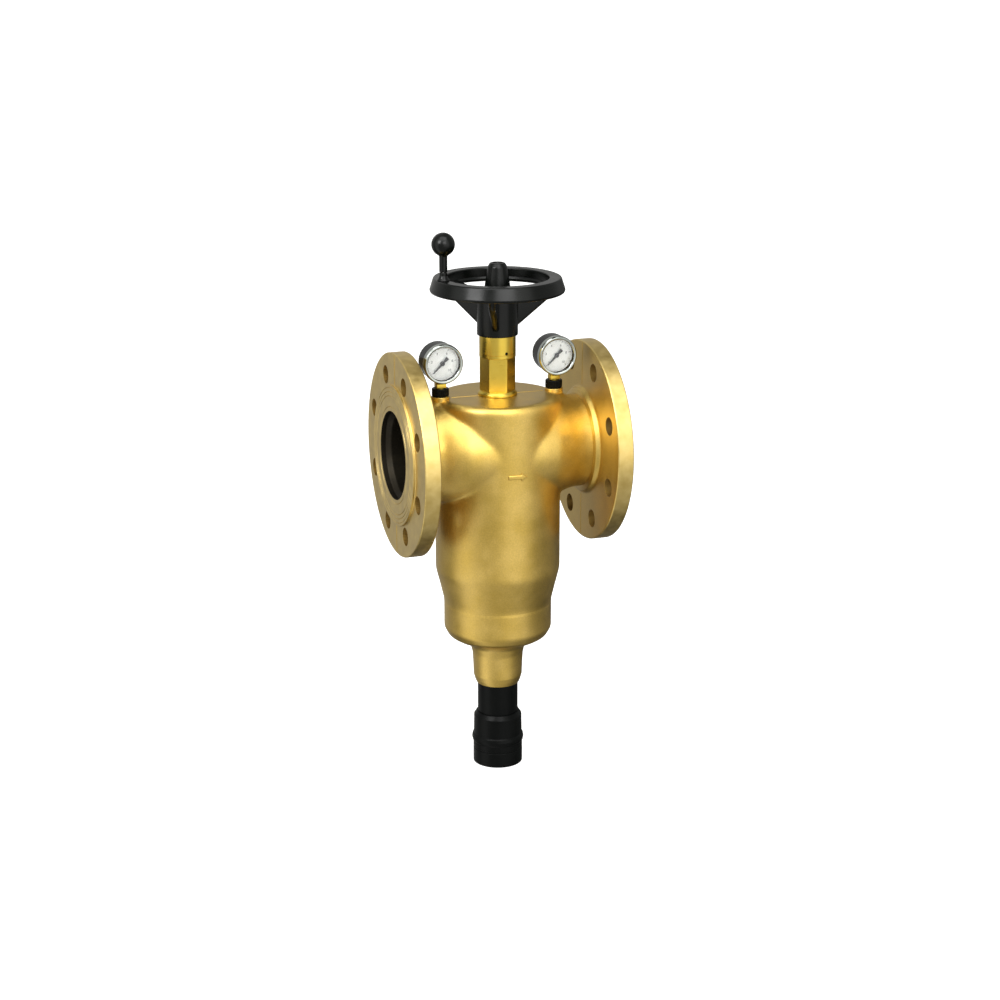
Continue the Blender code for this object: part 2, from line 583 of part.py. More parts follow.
def make_gauge_works(side, centre):
    """Stem, bush, movement block and bourdon tube."""
    x = centre[0]
    stem = rod(side + "_gauge_stem", 4.7, 78.0, 47.0, TINY, BRASS, centre=(x, 0, 0))
    join(stem, block(side + "_stem_square_form", (9.6, 9.6, 4.2), (x, 0, 66.2)))
    bush = [(5.0, 63.6), (8.0, 63.6), (8.4, 63.0), (8.4, BOSS_TOP + GAP), (5.6, BOSS_TOP + GAP)]
    bush += [(5.6, 46.0), (5.0, 46.0)]
    turned(side + "_gauge_bush", bush, SMALL, BLACK_PLASTIC, closed=True, centre=(x, 0, 0))
    movement = block(side + "_gauge_movement", (9.0, 7.0, 14.0), (x, -0.9, 85.8), BRASS)
    cut(movement, drills(side + "_arbor_tool", [((x, -4, centre[2]), (0, 1, 0), 1.5, 14)], TINY))
    route = bpy.data.curves.new(side + "_gauge_bourdon_tube", 'CURVE')
    route.dimensions = '3D'
    route.bevel_depth = 1.5 * MM
    route.bevel_resolution = 1
    route.use_fill_caps = True
    line = route.splines.new('POLY')
    turns = 14
    line.points.add(turns)
    for i in range(turns + 1):
        px, pz, _ = polar(11.5, -60 + 250 * i / turns)
        line.points[i].co = (px * MM, 7.0 * MM, pz * MM, 1)
    loose = bpy.data.objects.new(side + "_bourdon_route", route)
    CUTTERS.objects.link(loose)
    loose.location = Vector(centre) * MM
    bpy.context.view_layer.update()
    seen = loose.evaluated_get(bpy.context.evaluated_depsgraph_get())
    mesh = bpy.data.meshes.new_from_object(seen)
    weld = bmesh.new()
    weld.from_mesh(mesh)
    bmesh.ops.remove_doubles(weld, verts=weld.verts, dist=0.000001)
    bmesh.ops.recalc_face_normals(weld, faces=weld.faces)
    weld.to_mesh(mesh)
    weld.free()
    mesh.materials.clear()
    tube = add_object(side + "_gauge_bourdon_tube", mesh, BRASS)
    tube.matrix_world = loose.matrix_world
    bpy.data.objects.remove(loose, do_unlink=True)


def make_pointer(side, centre):
    """Pointer on its arbor, resting on the zero stop at lower left."""
    arbor = [(0, -1.0), (1.2, -1.0), (1.2, -7.0), (2.4, -7.0), (2.4, -9.2), (0, -9.2)]
    pointer = turned(side + "_gauge_pointer", arbor, TINY, BLACK_PLASTIC, axis='Y', centre=centre)
    blade = [(-6.0, -1.3), (0, -1.0), (13.0, -0.35), (13.0, 0.35), (0, 1.0), (-6.0, 1.3)]
    angle = math.radians(POINTER_REST)
    outline = [(u * math.cos(angle) - v * math.sin(angle), u * math.sin(angle) + v * math.cos(angle))
               for u, v in blade]
    place = (centre[0], -8.1, centre[2])
    join(pointer, plate(side + "_pointer_blade_form", outline, 0.6, centre=place))
    hold(pivot(side + "_pointer_axis", centre), pointer)


def make_gauges():
    for side, x in (("inlet", -GAUGE_X), ("outlet", GAUGE_X)):
        centre = (x, 0, GAUGE_Z)
        make_gauge_shell(side, centre)
        make_gauge_works(side, centre)
        make_pointer(side, centre)


clear_scene()
PARTS = make_collection("backwash_filter")
CUTTERS = make_collection("backwash_filter_cutters")

BRONZE = material("bronze_casting", (0.54, 0.38, 0.12, 1), 0.38, 1.0)
BRASS = material("machined_brass", (0.67, 0.53, 0.14, 1), 0.3, 1.0)
STEEL = material("stainless_steel", (0.6, 0.6, 0.58, 1), 0.28, 1.0)
BLACK_GLOSS = material("black_phenolic", (0.01, 0.01, 0.011, 1), 0.12, 0.0)
BLACK_PLASTIC = material("black_plastic", (0.012, 0.012, 0.013, 1), 0.4, 0.0)
WHITE_PLASTIC = material("white_plastic", (0.8, 0.8, 0.78, 1), 0.4, 0.0)
RUBBER = material("black_rubber", (0.015, 0.015, 0.015, 1), 0.7, 0.0)
GLASS = material("clear_window", (0.9, 0.93, 0.93, 0.35), 0.05, 0.0)

make_housing()
make_bowl()
make_drain()
make_socket()
make_drain_valve()
make_sleeve()
make_screen()
make_bonnet()
make_turning_set()
make_gauges()
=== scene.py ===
# %% [markdown]
# # A hand-flushed water filter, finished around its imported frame
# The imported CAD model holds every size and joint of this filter. These cells load it, then swap its
# faceted pieces for smooth ones and give every piece the finish of the real material. A reader who
# is learning Blender can follow one cell at a time.

# %% Load the frame
import json
import math

import bmesh
import bpy
from mathutils import Matrix, Vector


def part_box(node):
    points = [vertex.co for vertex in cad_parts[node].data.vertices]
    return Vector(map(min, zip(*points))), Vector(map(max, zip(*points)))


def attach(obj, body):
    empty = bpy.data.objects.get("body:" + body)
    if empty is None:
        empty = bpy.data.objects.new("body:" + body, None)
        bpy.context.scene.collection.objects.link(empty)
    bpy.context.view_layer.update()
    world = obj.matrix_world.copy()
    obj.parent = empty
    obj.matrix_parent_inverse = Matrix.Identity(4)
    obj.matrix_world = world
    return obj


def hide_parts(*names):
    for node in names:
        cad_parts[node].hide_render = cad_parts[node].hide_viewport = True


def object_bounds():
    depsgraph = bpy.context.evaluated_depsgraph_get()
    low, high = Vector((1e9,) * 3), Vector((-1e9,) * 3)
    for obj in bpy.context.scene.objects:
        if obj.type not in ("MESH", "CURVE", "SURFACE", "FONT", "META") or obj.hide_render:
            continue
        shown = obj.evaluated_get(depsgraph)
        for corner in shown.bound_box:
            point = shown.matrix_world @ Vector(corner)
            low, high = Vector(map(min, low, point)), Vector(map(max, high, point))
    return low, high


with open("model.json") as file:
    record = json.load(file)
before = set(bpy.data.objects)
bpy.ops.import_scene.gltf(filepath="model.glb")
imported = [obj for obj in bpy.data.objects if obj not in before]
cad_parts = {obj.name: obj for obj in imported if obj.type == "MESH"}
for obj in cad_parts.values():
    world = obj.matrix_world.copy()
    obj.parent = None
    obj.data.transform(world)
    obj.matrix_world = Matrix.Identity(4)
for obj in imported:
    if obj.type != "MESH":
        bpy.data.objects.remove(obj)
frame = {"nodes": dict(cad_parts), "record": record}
CAD_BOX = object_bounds()
MM = 0.001

# %% [markdown]
# ## Colour and node helpers
# Colours are written as the sRGB hex values that a paint card or a screen shows, but Blender's
# shaders work in linear light, so one function converts them. A second one adds a node with its
# settings and its inputs, where an input is a plain value or another node's output.

# %% Colour and node helpers
def colour(code):
    """Linear RGBA of an sRGB hex code."""
    shown = [int(code[i:i + 2], 16) / 255 for i in (0, 2, 4)]
    linear = [c / 12.92 if c <= 0.04045 else ((c + 0.055) / 1.055) ** 2.4 for c in shown]
    return (*linear, 1.0)


def add_node(tree, kind, settings=None, inputs=None):
    """Add one node with its settings, and set or link its inputs."""
    made = tree.nodes.new(kind)
    for name, value in (settings or {}).items():
        setattr(made, name, value)
    for name, value in (inputs or {}).items():
        if isinstance(value, bpy.types.NodeSocket):
            tree.links.new(value, made.inputs[name])
        else:
            made.inputs[name].default_value = value
    return made


def new_finish(name, values):
    """A material whose plain values sit on its Principled shader's own sockets."""
    finish = bpy.data.materials.new(name)
    finish.use_nodes = True
    shader = finish.node_tree.nodes["Principled BSDF"]
    for socket, value in values.items():
        shader.inputs[socket].default_value = value
    return finish, finish.node_tree, shader


def feed(tree, shader, inputs):
    """Link pattern nodes' outputs to the shader's sockets."""
    for socket, output in inputs.items():
        tree.links.new(output, shader.inputs[socket])


def per_metre(size_mm):
    """Texture scale that makes one feature of a pattern this many millimetres wide."""
    return 1000.0 / size_mm


print("mid grey, linear:", round(colour("808080")[0], 3))

# %% [markdown]
# ## Sand-cast gunmetal
# The housing and the bowl are gunmetal, a copper and tin bronze, cast in sand and then blasted. Blasting
# leaves a satin skin: highlights spread wide, and a grain of about a millimetre catches the light. Two
# noise textures do this, one for the grain and one for slow patches of tone. Where the two halves of the
# sand mould met there is a thin raised line in the plane Y = 0, made from the Y coordinate.

# %% Sand-cast gunmetal
def make_cast_gunmetal():
    finish, tree, shader = new_finish("cast_gunmetal", {
        "Metallic": 1.0, "Roughness": 0.4, "Coat Weight": 0.35, "Coat Roughness": 0.3})
    place = add_node(tree, "ShaderNodeTexCoord").outputs["Object"]
    grain = add_node(tree, "ShaderNodeTexNoise", inputs={
        "Vector": place, "Scale": per_metre(1.3), "Detail": 3.0, "Roughness": 0.6})
    patches = add_node(tree, "ShaderNodeTexNoise", inputs={
        "Vector": place, "Scale": per_metre(26), "Detail": 4.0})
    tone = add_node(tree, "ShaderNodeValToRGB", inputs={"Fac": patches.outputs["Fac"]})
    tone.color_ramp.elements[0].position = 0.35
    tone.color_ramp.elements[0].color = colour("CBAA50")
    tone.color_ramp.elements[1].position = 0.68
    tone.color_ramp.elements[1].color = colour("D9B964")
    speck = add_node(tree, "ShaderNodeMapRange", inputs={
        "Value": grain.outputs["Fac"], "From Min": 0.3, "From Max": 0.7, "To Min": 0.86, "To Max": 1.04})
    base = add_node(tree, "ShaderNodeVectorMath", {"operation": "SCALE"}, {
        0: tone.outputs["Color"], "Scale": speck.outputs["Result"]})
    gloss = add_node(tree, "ShaderNodeMapRange", inputs={
        "Value": patches.outputs["Fac"], "From Min": 0.3, "From Max": 0.7, "To Min": 0.36, "To Max": 0.46})
    parts = add_node(tree, "ShaderNodeSeparateXYZ", inputs={0: place})
    off_plane = add_node(tree, "ShaderNodeMath", {"operation": "ABSOLUTE"}, {0: parts.outputs["Y"]})
    seam = add_node(tree, "ShaderNodeMapRange", {"interpolation_type": "SMOOTHSTEP"}, {
        "Value": off_plane.outputs[0], "From Min": 0.2 * MM, "From Max": 0.9 * MM,
        "To Min": 2.5, "To Max": 0.0})
    height = add_node(tree, "ShaderNodeMath", {"operation": "ADD"}, {
        0: grain.outputs["Fac"], 1: seam.outputs["Result"]})
    bump = add_node(tree, "ShaderNodeBump", inputs={
        "Height": height.outputs[0], "Strength": 0.45, "Distance": 0.18 * MM})
    feed(tree, shader, {
        "Base Color": base.outputs[0], "Roughness": gloss.outputs["Result"],
        "Normal": bump.outputs["Normal"]})
    return finish


CAST_GUNMETAL = make_cast_gunmetal()
print("finish:", CAST_GUNMETAL.name)

# %% [markdown]
# ## Turned gunmetal
# The flange faces and rims are cut on a lathe after casting. The tool leaves fine rings round the pipe
# axis, which draw the highlight out into a fan. The rings are a sine of the distance from the pipe axis.
# Real ones are about 0.4 mm apart, too fine to show here, so they are drawn 1.6 mm apart.

# %% Turned gunmetal
def ring_height(tree, place, keep, pitch_mm):
    """Height that rises and falls in rings round one axis; keep masks that axis out."""
    flat = add_node(tree, "ShaderNodeVectorMath", {"operation": "MULTIPLY"}, {0: place, 1: keep})
    radius = add_node(tree, "ShaderNodeVectorMath", {"operation": "LENGTH"}, {0: flat.outputs[0]})
    turns = add_node(tree, "ShaderNodeMath", {"operation": "MULTIPLY"}, {
        0: radius.outputs["Value"], 1: 2 * math.pi * per_metre(pitch_mm)})
    return add_node(tree, "ShaderNodeMath", {"operation": "SINE"}, {0: turns.outputs[0]}).outputs[0]


def make_turned_gunmetal():
    finish, tree, shader = new_finish("turned_gunmetal", {
        "Metallic": 1.0, "Roughness": 0.34, "Coat Weight": 0.15, "Coat Roughness": 0.3})
    place = add_node(tree, "ShaderNodeTexCoord").outputs["Object"]
    rings = ring_height(tree, place, (0, 1, 1), 1.6)
    cloud = add_node(tree, "ShaderNodeTexNoise", inputs={
        "Vector": place, "Scale": per_metre(9), "Detail": 5.0})
    tone = add_node(tree, "ShaderNodeValToRGB", inputs={"Fac": cloud.outputs["Fac"]})
    tone.color_ramp.elements[0].position = 0.3
    tone.color_ramp.elements[0].color = colour("CFB266")
    tone.color_ramp.elements[1].position = 0.7
    tone.color_ramp.elements[1].color = colour("DFC57E")
    wear = add_node(tree, "ShaderNodeMapRange", inputs={
        "Value": cloud.outputs["Fac"], "From Min": 0.3, "From Max": 0.7, "To Min": 0.3, "To Max": 0.42})
    bump = add_node(tree, "ShaderNodeBump", inputs={
        "Height": rings, "Strength": 0.3, "Distance": 0.06 * MM})
    feed(tree, shader, {
        "Base Color": tone.outputs["Color"], "Roughness": wear.outputs["Result"],
        "Normal": bump.outputs["Normal"]})
    return finish


TURNED_GUNMETAL = make_turned_gunmetal()
print("finish:", TURNED_GUNMETAL.name)

# %% [markdown]
# ## Painted shade in the bores, and drilled holes
# Inside, the casting is left as it comes from the core and is painted a brown that is almost black:
# painted shade of the deep bores and cavity. The bolt holes are drilled and only dulled by air.
# Tarnished bronze keeps a metallic sheen but loses brightness, in cloudy patches, and the painted
# shade takes the same look, so both are one recipe with two pairs of colours.

# %% Painted shade in the bores, and drilled holes
def make_tarnished(name, dark, light):
    finish, tree, shader = new_finish(name, {"Metallic": 0.8, "Roughness": 0.5})
    place = add_node(tree, "ShaderNodeTexCoord").outputs["Object"]
    cloud = add_node(tree, "ShaderNodeTexNoise", inputs={
        "Vector": place, "Scale": per_metre(7), "Detail": 5.0})
    tone = add_node(tree, "ShaderNodeMix", {"data_type": "RGBA"}, {
        0: cloud.outputs["Fac"], 6: colour(dark), 7: colour(light)})
    bump = add_node(tree, "ShaderNodeBump", inputs={
        "Height": cloud.outputs["Fac"], "Strength": 0.3, "Distance": 0.2 * MM})
    feed(tree, shader, {"Base Color": tone.outputs[2], "Normal": bump.outputs["Normal"]})
    return finish


# The near-black colours are painted shade of the bores and cavity.
BORE_PAINTED_SHADE = make_tarnished("bore_painted_shade_gunmetal", "15130D", "2C261A")
DRILLED = make_tarnished("drilled_gunmetal", "7C622C", "9C7E40")
print("finishes:", BORE_PAINTED_SHADE.name, DRILLED.name)

# %% [markdown]
# ## Metals turned from bar: brass and stainless steel
# The bonnet is free-cutting brass, yellower than gunmetal, and the spindle and the gauge rings are
# stainless steel. Both are turned, so fine tool lines run round their axis. A noise that is squeezed
# along Z gives lines of uneven strength, as a real cut has, and a slow noise changes the gloss.

# %% Metals turned from bar
def make_turned_metal(name, dark, light, rough_low, rough_high, line_mm, depth_mm):
    finish, tree, shader = new_finish(name, {"Metallic": 1.0, "Roughness": rough_low})
    place = add_node(tree, "ShaderNodeTexCoord").outputs["Object"]
    squeezed = add_node(tree, "ShaderNodeMapping", inputs={"Vector": place, "Scale": (0.05, 0.05, 1.0)})
    lines = add_node(tree, "ShaderNodeTexNoise", inputs={
        "Vector": squeezed.outputs["Vector"], "Scale": per_metre(line_mm), "Detail": 4.0})
    cloud = add_node(tree, "ShaderNodeTexNoise", inputs={
        "Vector": place, "Scale": per_metre(12), "Detail": 3.0})
    tone = add_node(tree, "ShaderNodeMix", {"data_type": "RGBA"}, {
        0: cloud.outputs["Fac"], 6: colour(dark), 7: colour(light)})
    wear = add_node(tree, "ShaderNodeMapRange", inputs={
        "Value": lines.outputs["Fac"], "From Min": 0.3, "From Max": 0.7,
        "To Min": rough_low, "To Max": rough_high})
    bump = add_node(tree, "ShaderNodeBump", inputs={
        "Height": lines.outputs["Fac"], "Strength": 0.3, "Distance": depth_mm * MM})
    feed(tree, shader, {
        "Base Color": tone.outputs[2], "Roughness": wear.outputs["Result"],
        "Normal": bump.outputs["Normal"]})
    return finish


TURNED_BRASS = make_turned_metal("turned_brass", "CFAF42", "DBBF56", 0.27, 0.35, 0.9, 0.012)
STAINLESS = make_turned_metal("turned_stainless_steel", "BDBCB8", "D2D1CD", 0.2, 0.32, 0.8, 0.02)
RING_STEEL = make_turned_metal("polished_stainless_ring", "9FA49F", "B4B9B3", 0.12, 0.18, 1.2, 0.004)
BLACK_OXIDE = make_turned_metal("black_oxide_steel", "141414", "1E1E1E", 0.35, 0.45, 0.8, 0.02)
print("finishes:", TURNED_BRASS.name, STAINLESS.name, RING_STEEL.name)

# %% [markdown]
# ## Black plastics and rubber
# The handwheel and its ball are phenolic resin, pressed in a polished mould: nearly black and glossy,
# with a very slight waviness. The drain pipe and socket are polypropylene, satin from a finely eroded
# mould. Seals are nitrile rubber, matt with a dusty bloom. One function makes them, and the gauges'
# enamel and print too: they differ only in colour, gloss, and the size and depth of their grain.

# %% Black plastics and rubber
def make_moulded(name, dark, light, ior, rough_low, rough_high, grain_mm, depth_mm, strength, specular=0.5):
    finish, tree, shader = new_finish(name, {
        "Metallic": 0.0, "IOR": ior, "Roughness": rough_low, "Specular IOR Level": specular})
    place = add_node(tree, "ShaderNodeTexCoord").outputs["Object"]
    grain = add_node(tree, "ShaderNodeTexNoise", inputs={
        "Vector": place, "Scale": per_metre(grain_mm), "Detail": 3.0})
    cloud = add_node(tree, "ShaderNodeTexNoise", inputs={
        "Vector": place, "Scale": per_metre(18), "Detail": 4.0})
    tone = add_node(tree, "ShaderNodeMix", {"data_type": "RGBA"}, {
        0: cloud.outputs["Fac"], 6: colour(dark), 7: colour(light)})
    gloss = add_node(tree, "ShaderNodeMapRange", inputs={
        "Value": cloud.outputs["Fac"], "From Min": 0.3, "From Max": 0.7,
        "To Min": rough_low, "To Max": rough_high})
    bump = add_node(tree, "ShaderNodeBump", inputs={
        "Height": grain.outputs["Fac"], "Strength": strength, "Distance": depth_mm * MM})
    feed(tree, shader, {
        "Base Color": tone.outputs[2], "Roughness": gloss.outputs["Result"],
        "Normal": bump.outputs["Normal"]})
    return finish


PHENOLIC = make_moulded("black_phenolic", "010201", "030503", 1.55, 0.2, 0.28, 3.0, 0.012, 0.2, 0.2)
POLYPROPYLENE = make_moulded("black_polypropylene", "020303", "060706", 1.49, 0.28, 0.4, 0.9, 0.03,
                             0.35, 0.09)
CASE_ENAMEL = make_moulded("black_case_enamel", "030504", "070A08", 1.5, 0.16, 0.24, 2.5, 0.02, 0.2, 0.22)
NITRILE = make_moulded("nitrile_rubber", "141414", "1D1D1C", 1.52, 0.6, 0.75, 0.7, 0.04, 0.4)
ACETAL = make_moulded("white_acetal", "DDDCD6", "E8E7E2", 1.48, 0.32, 0.42, 1.5, 0.02, 0.2)
DIAL_ENAMEL = make_moulded("white_dial_enamel", "F1F1EE", "F7F7F5", 1.5, 0.3, 0.38, 1.0, 0.01, 0.1)
PRINT_INK = make_moulded("black_print_ink", "1C1D20", "26272B", 1.5, 0.5, 0.6, 0.5, 0.01, 0.1)
print("moulded finishes made")

# %% [markdown]
# ## Clear window and woven screen
# The gauge window is acrylic sheet: colourless, smooth and with an IOR of 1.49. The screen is a weave
# of stainless wire. Its real pitch is about 0.1 mm, too fine to show, so it is drawn at 1.2 mm as a
# magic texture whose waves cross like a weave.

# %% Clear window and woven screen
def make_acrylic():
    finish, tree, shader = new_finish("clear_acrylic", {
        "Base Color": colour("FDFEFD"), "IOR": 1.49, "Transmission Weight": 1.0, "Roughness": 0.0})
    place = add_node(tree, "ShaderNodeTexCoord").outputs["Object"]
    wave = add_node(tree, "ShaderNodeTexNoise", inputs={"Vector": place, "Scale": per_metre(20)})
    bump = add_node(tree, "ShaderNodeBump", inputs={
        "Height": wave.outputs["Fac"], "Strength": 0.05, "Distance": 0.02 * MM})
    feed(tree, shader, {"Normal": bump.outputs["Normal"]})
    return finish


def make_woven_wire():
    finish, tree, shader = new_finish("woven_stainless_wire", {"Metallic": 1.0, "Roughness": 0.35})
    place = add_node(tree, "ShaderNodeTexCoord").outputs["Object"]
    weave = add_node(tree, "ShaderNodeTexMagic", {"turbulence_depth": 1}, {
        "Vector": place, "Scale": per_metre(1.2)})
    tone = add_node(tree, "ShaderNodeMix", {"data_type": "RGBA"}, {
        0: weave.outputs["Fac"], 6: colour("6E6D68"), 7: colour("CFCEC8")})
    bump = add_node(tree, "ShaderNodeBump", inputs={
        "Height": weave.outputs["Fac"], "Strength": 0.5, "Distance": 0.1 * MM})
    feed(tree, shader, {"Base Color": tone.outputs[2], "Normal": bump.outputs["Normal"]})
    return finish


ACRYLIC = make_acrylic()
WOVEN_WIRE = make_woven_wire()
FINISH_OF_SLOT = {
    "cast_gunmetal": CAST_GUNMETAL, "machined_brass": TURNED_BRASS, "stainless_steel": STAINLESS,
    "black_phenolic": PHENOLIC, "black_plastic": POLYPROPYLENE, "white_plastic": ACETAL,
    "black_rubber": NITRILE, "clear_window": ACRYLIC}
print("slots with a finish:", len(FINISH_OF_SLOT))

# %% [markdown]
# ## The sizes this model is built on
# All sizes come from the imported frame: a node's box gives its lowest and highest corner, and the middle
# of a round piece's box lies on its axis. They are turned into millimetres, which read more easily.

# %% Sizes read from the frame
def span(node):
    """Lowest and highest corner of a node, in millimetres."""
    low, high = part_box(node)
    return Vector(low) / MM, Vector(high) / MM


def middle(node):
    low, high = span(node)
    return (low + high) / 2


FLANGE_FACE = span("housing")[1].x
FLANGE_R = span("housing")[1].y
FOOT_Z = span("housing")[0].z
BOSS_TOP = 55.5                                # hidden in the housing's box, whose flanges are taller
GRIP = middle("crank_grip")
print("face to face", round(2 * FLANGE_FACE, 1), "flange", round(2 * FLANGE_R, 1), "grip at", GRIP[:])

# %% [markdown]
# ## Turned shapes
# Most pieces of a valve or filter are bodies of revolution, so a lathe is the right tool: an outline of
# (radius, height) corners, spun round an axis. A corner may carry a third number, the radius of its
# rounding. A rounded edge is what makes a hard piece look real, because it catches a line of light.

# %% Turned shapes
def rounded(corners, closed):
    """Outline through the corners, with an arc at each corner that has a third number."""
    path = []
    count = len(corners)
    for i, corner in enumerate(corners):
        here = Vector(corner[:2])
        at_end = not closed and i in (0, count - 1)
        if len(corner) == 2 or at_end:
            path.append(here)
            continue
        back = Vector(corners[i - 1][:2]) - here
        ahead = Vector(corners[(i + 1) % count][:2]) - here
        half = back.angle(ahead) / 2
        reach = min(corner[2] / math.tan(half), 0.49 * back.length, 0.49 * ahead.length)
        radius = reach * math.tan(half)
        centre = here + (back.normalized() + ahead.normalized()).normalized() * (radius / math.sin(half))
        start = here + back.normalized() * reach - centre
        end = here + ahead.normalized() * reach - centre
        sweep = math.atan2(start.x * end.y - start.y * end.x, start.dot(end))
        steps = max(2, math.ceil(abs(sweep) / math.radians(14)))
        for k in range(steps + 1):
            path.append(centre + Matrix.Rotation(sweep * k / steps, 2) @ start)
    return path


def mirrored(corners):
    """The same outline at the other end of its axis."""
    return [(corner[0], -corner[1], *corner[2:]) for corner in reversed(corners)]


def with_supports(path, closed):
    """Extra points near the ends of long straight runs, which keep them flat when shaded smooth."""
    held = []
    for here, ahead in zip(path, path[1:] + path[:1] if closed else path[1:]):
        run = ahead - here
        held.append(here)
        if run.length > 2.0:
            held += [here + run.normalized() * 0.3, ahead - run.normalized() * 0.3]
    return held if closed else held + [path[-1]]


def lathe(name, corners, closed=False, axis="Z", centre=(0, 0, 0), steps=144):
    """Spin an outline round an axis through centre; the object's origin lies at centre."""
    path = with_supports(rounded(corners, closed), closed)
    shape = bmesh.new()
    verts = [shape.verts.new((p.x * MM, 0, p.y * MM)) for p in path]
    edges = [shape.edges.new(pair) for pair in zip(verts, verts[1:])]
    if closed:
        edges.append(shape.edges.new((verts[-1], verts[0])))
    bmesh.ops.spin(shape, geom=verts + edges, cent=(0, 0, 0), axis=(0, 0, 1), dvec=(0, 0, 0),
                   angle=2 * math.pi, steps=steps, use_merge=True, use_duplicate=False)
    bmesh.ops.remove_doubles(shape, verts=shape.verts, dist=0.000001)
    if axis == "X":
        bmesh.ops.rotate(shape, verts=shape.verts, matrix=Matrix.Rotation(math.radians(90), 3, "Y"))
    if axis == "Y":
        bmesh.ops.rotate(shape, verts=shape.verts, matrix=Matrix.Rotation(math.radians(-90), 3, "X"))
    bmesh.ops.recalc_face_normals(shape, faces=shape.faces)
    return to_object(name, shape, centre)


def to_object(name, shape, centre=(0, 0, 0)):
    mesh = bpy.data.meshes.new(name)
    shape.to_mesh(mesh)
    shape.free()
    made = bpy.data.objects.new(name, mesh)
    bpy.context.scene.collection.objects.link(made)
    made.location = Vector(centre) * MM
    return made


def settle(piece, finish, body, slot, *nodes):
    """Finish a piece, shade it, and say what it stands for and moves with."""
    if finish:
        piece.data.materials.clear()
        piece.data.materials.append(finish)
    piece.data.shade_smooth()
    piece.data.set_sharp_from_angle(angle=math.radians(32))
    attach(piece, body)
    if nodes:
        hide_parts(*nodes)
    return piece


print("lathe ready")

# %% [markdown]
# ## Joining and cutting
# A Boolean modifier joins solids or cuts one with another, as milling does. Once its result is applied
# the tools can go. Each helper returns the finished mesh as one plain object.

# %% Joining and cutting
def applied(piece):
    """Bake a piece's modifiers into its mesh."""
    bpy.context.view_layer.update()
    seen = piece.evaluated_get(bpy.context.evaluated_depsgraph_get())
    mesh = bpy.data.meshes.new_from_object(seen)
    old = piece.data
    piece.modifiers.clear()
    piece.data = mesh
    bpy.data.meshes.remove(old)
    mesh.name = piece.name
    return piece


def combine(piece, operation, *tools):
    """Boolean the tools into a piece, one after another, then remove them."""
    for tool in tools:
        boolean = piece.modifiers.new("boolean", "BOOLEAN")
        boolean.operation = operation
        boolean.solver = "EXACT"
        boolean.object = tool
        applied(piece)
        bpy.data.objects.remove(tool)
    return piece


def cylinders(name, places, radius, length, axis="Z", steps=48):
    """Separate cylinders in one mesh, for drilling several holes at once."""
    turn = {"X": Matrix.Rotation(math.radians(90), 4, "Y"), "Y": Matrix.Rotation(math.radians(90), 4, "X"),
            "Z": Matrix.Identity(4)}[axis]
    shape = bmesh.new()
    for place in places:
        bmesh.ops.create_cone(shape, cap_ends=True, segments=steps, radius1=radius * MM,
                              radius2=radius * MM, depth=length * MM,
                              matrix=Matrix.Translation(Vector(place) * MM) @ turn)
    return to_object(name, shape)


def prism(name, outline, thickness, soft, turn=0.0, belly=0, belly_soft=0.0):
    """Outline in the XZ plane, made solid along Y with softened edges, then turned about Z.

    The first belly corners of the outline bound an underside with a rounding of its own.
    """
    shape = bmesh.new()
    face = shape.faces.new([shape.verts.new((u * MM, thickness / 2 * MM, v * MM)) for u, v in outline])
    grown = bmesh.ops.extrude_face_region(shape, geom=[face])
    moved = [item for item in grown["geom"] if isinstance(item, bmesh.types.BMVert)]
    bmesh.ops.translate(shape, verts=moved, vec=(0, -thickness * MM, 0))
    bmesh.ops.recalc_face_normals(shape, faces=shape.faces)
    under = [Vector((u, v)) * MM for u, v in outline[:belly]]
    long_edges = [edge for edge in shape.edges if all(
        any((Vector((vert.co.x, vert.co.z)) - point).length < 0.01 * MM for point in under)
        for vert in edge.verts) and abs(edge.verts[0].co.y - edge.verts[1].co.y) < 0.01 * MM]
    if long_edges:
        bmesh.ops.bevel(shape, geom=long_edges, offset=belly_soft * MM, segments=10, profile=0.5,
                        affect="EDGES", clamp_overlap=True)
    sharp = [edge for edge in shape.edges if len(edge.link_faces) == 2 and edge.calc_face_angle(0) > 0.6]
    bmesh.ops.bevel(shape, geom=sharp, offset=soft * MM, segments=4, profile=0.5,
                    affect="EDGES", clamp_overlap=True)
    bmesh.ops.rotate(shape, verts=shape.verts, matrix=Matrix.Rotation(math.radians(turn), 3, "Z"))
    return to_object(name, shape)


print("boolean tools ready")

# %% [markdown]
# ## The housing: a casting with machined flanges
# A casting has no sharp inner corners, because sand and shrinking metal both round them. Real fillets
# are hard to model edge by edge where a flared nozzle runs into a cylinder. The way used here is to
# join rough forms, remesh them as small cubes, and smooth the skin, which melts every join into a
# fillet. The machined parts, which are crisp, are joined on afterwards.

# %% Rough casting
BODY_R = 62.0
BODY_TOP = 53.0
# (distance from the middle, half width, half height) of the nozzle's flared sections
NOZZLE_SECTIONS = ((92, 46, 46), (76, 46, 46), (68, 48, 47.4), (58, 52.6, 49.8), (46, 57, 51.4),
                   (30, 59.4, 52), (0, 60, 52))


def section_at(distance):
    """Half width and half height of the nozzle, straight lines between its sections."""
    for (far, wide_a, tall_a), (near, wide_b, tall_b) in zip(NOZZLE_SECTIONS, NOZZLE_SECTIONS[1:]):
        if near <= distance <= far:
            share = (distance - near) / (far - near)
            return wide_b + (wide_a - wide_b) * share, tall_b + (tall_a - tall_b) * share
    raise ValueError(distance)


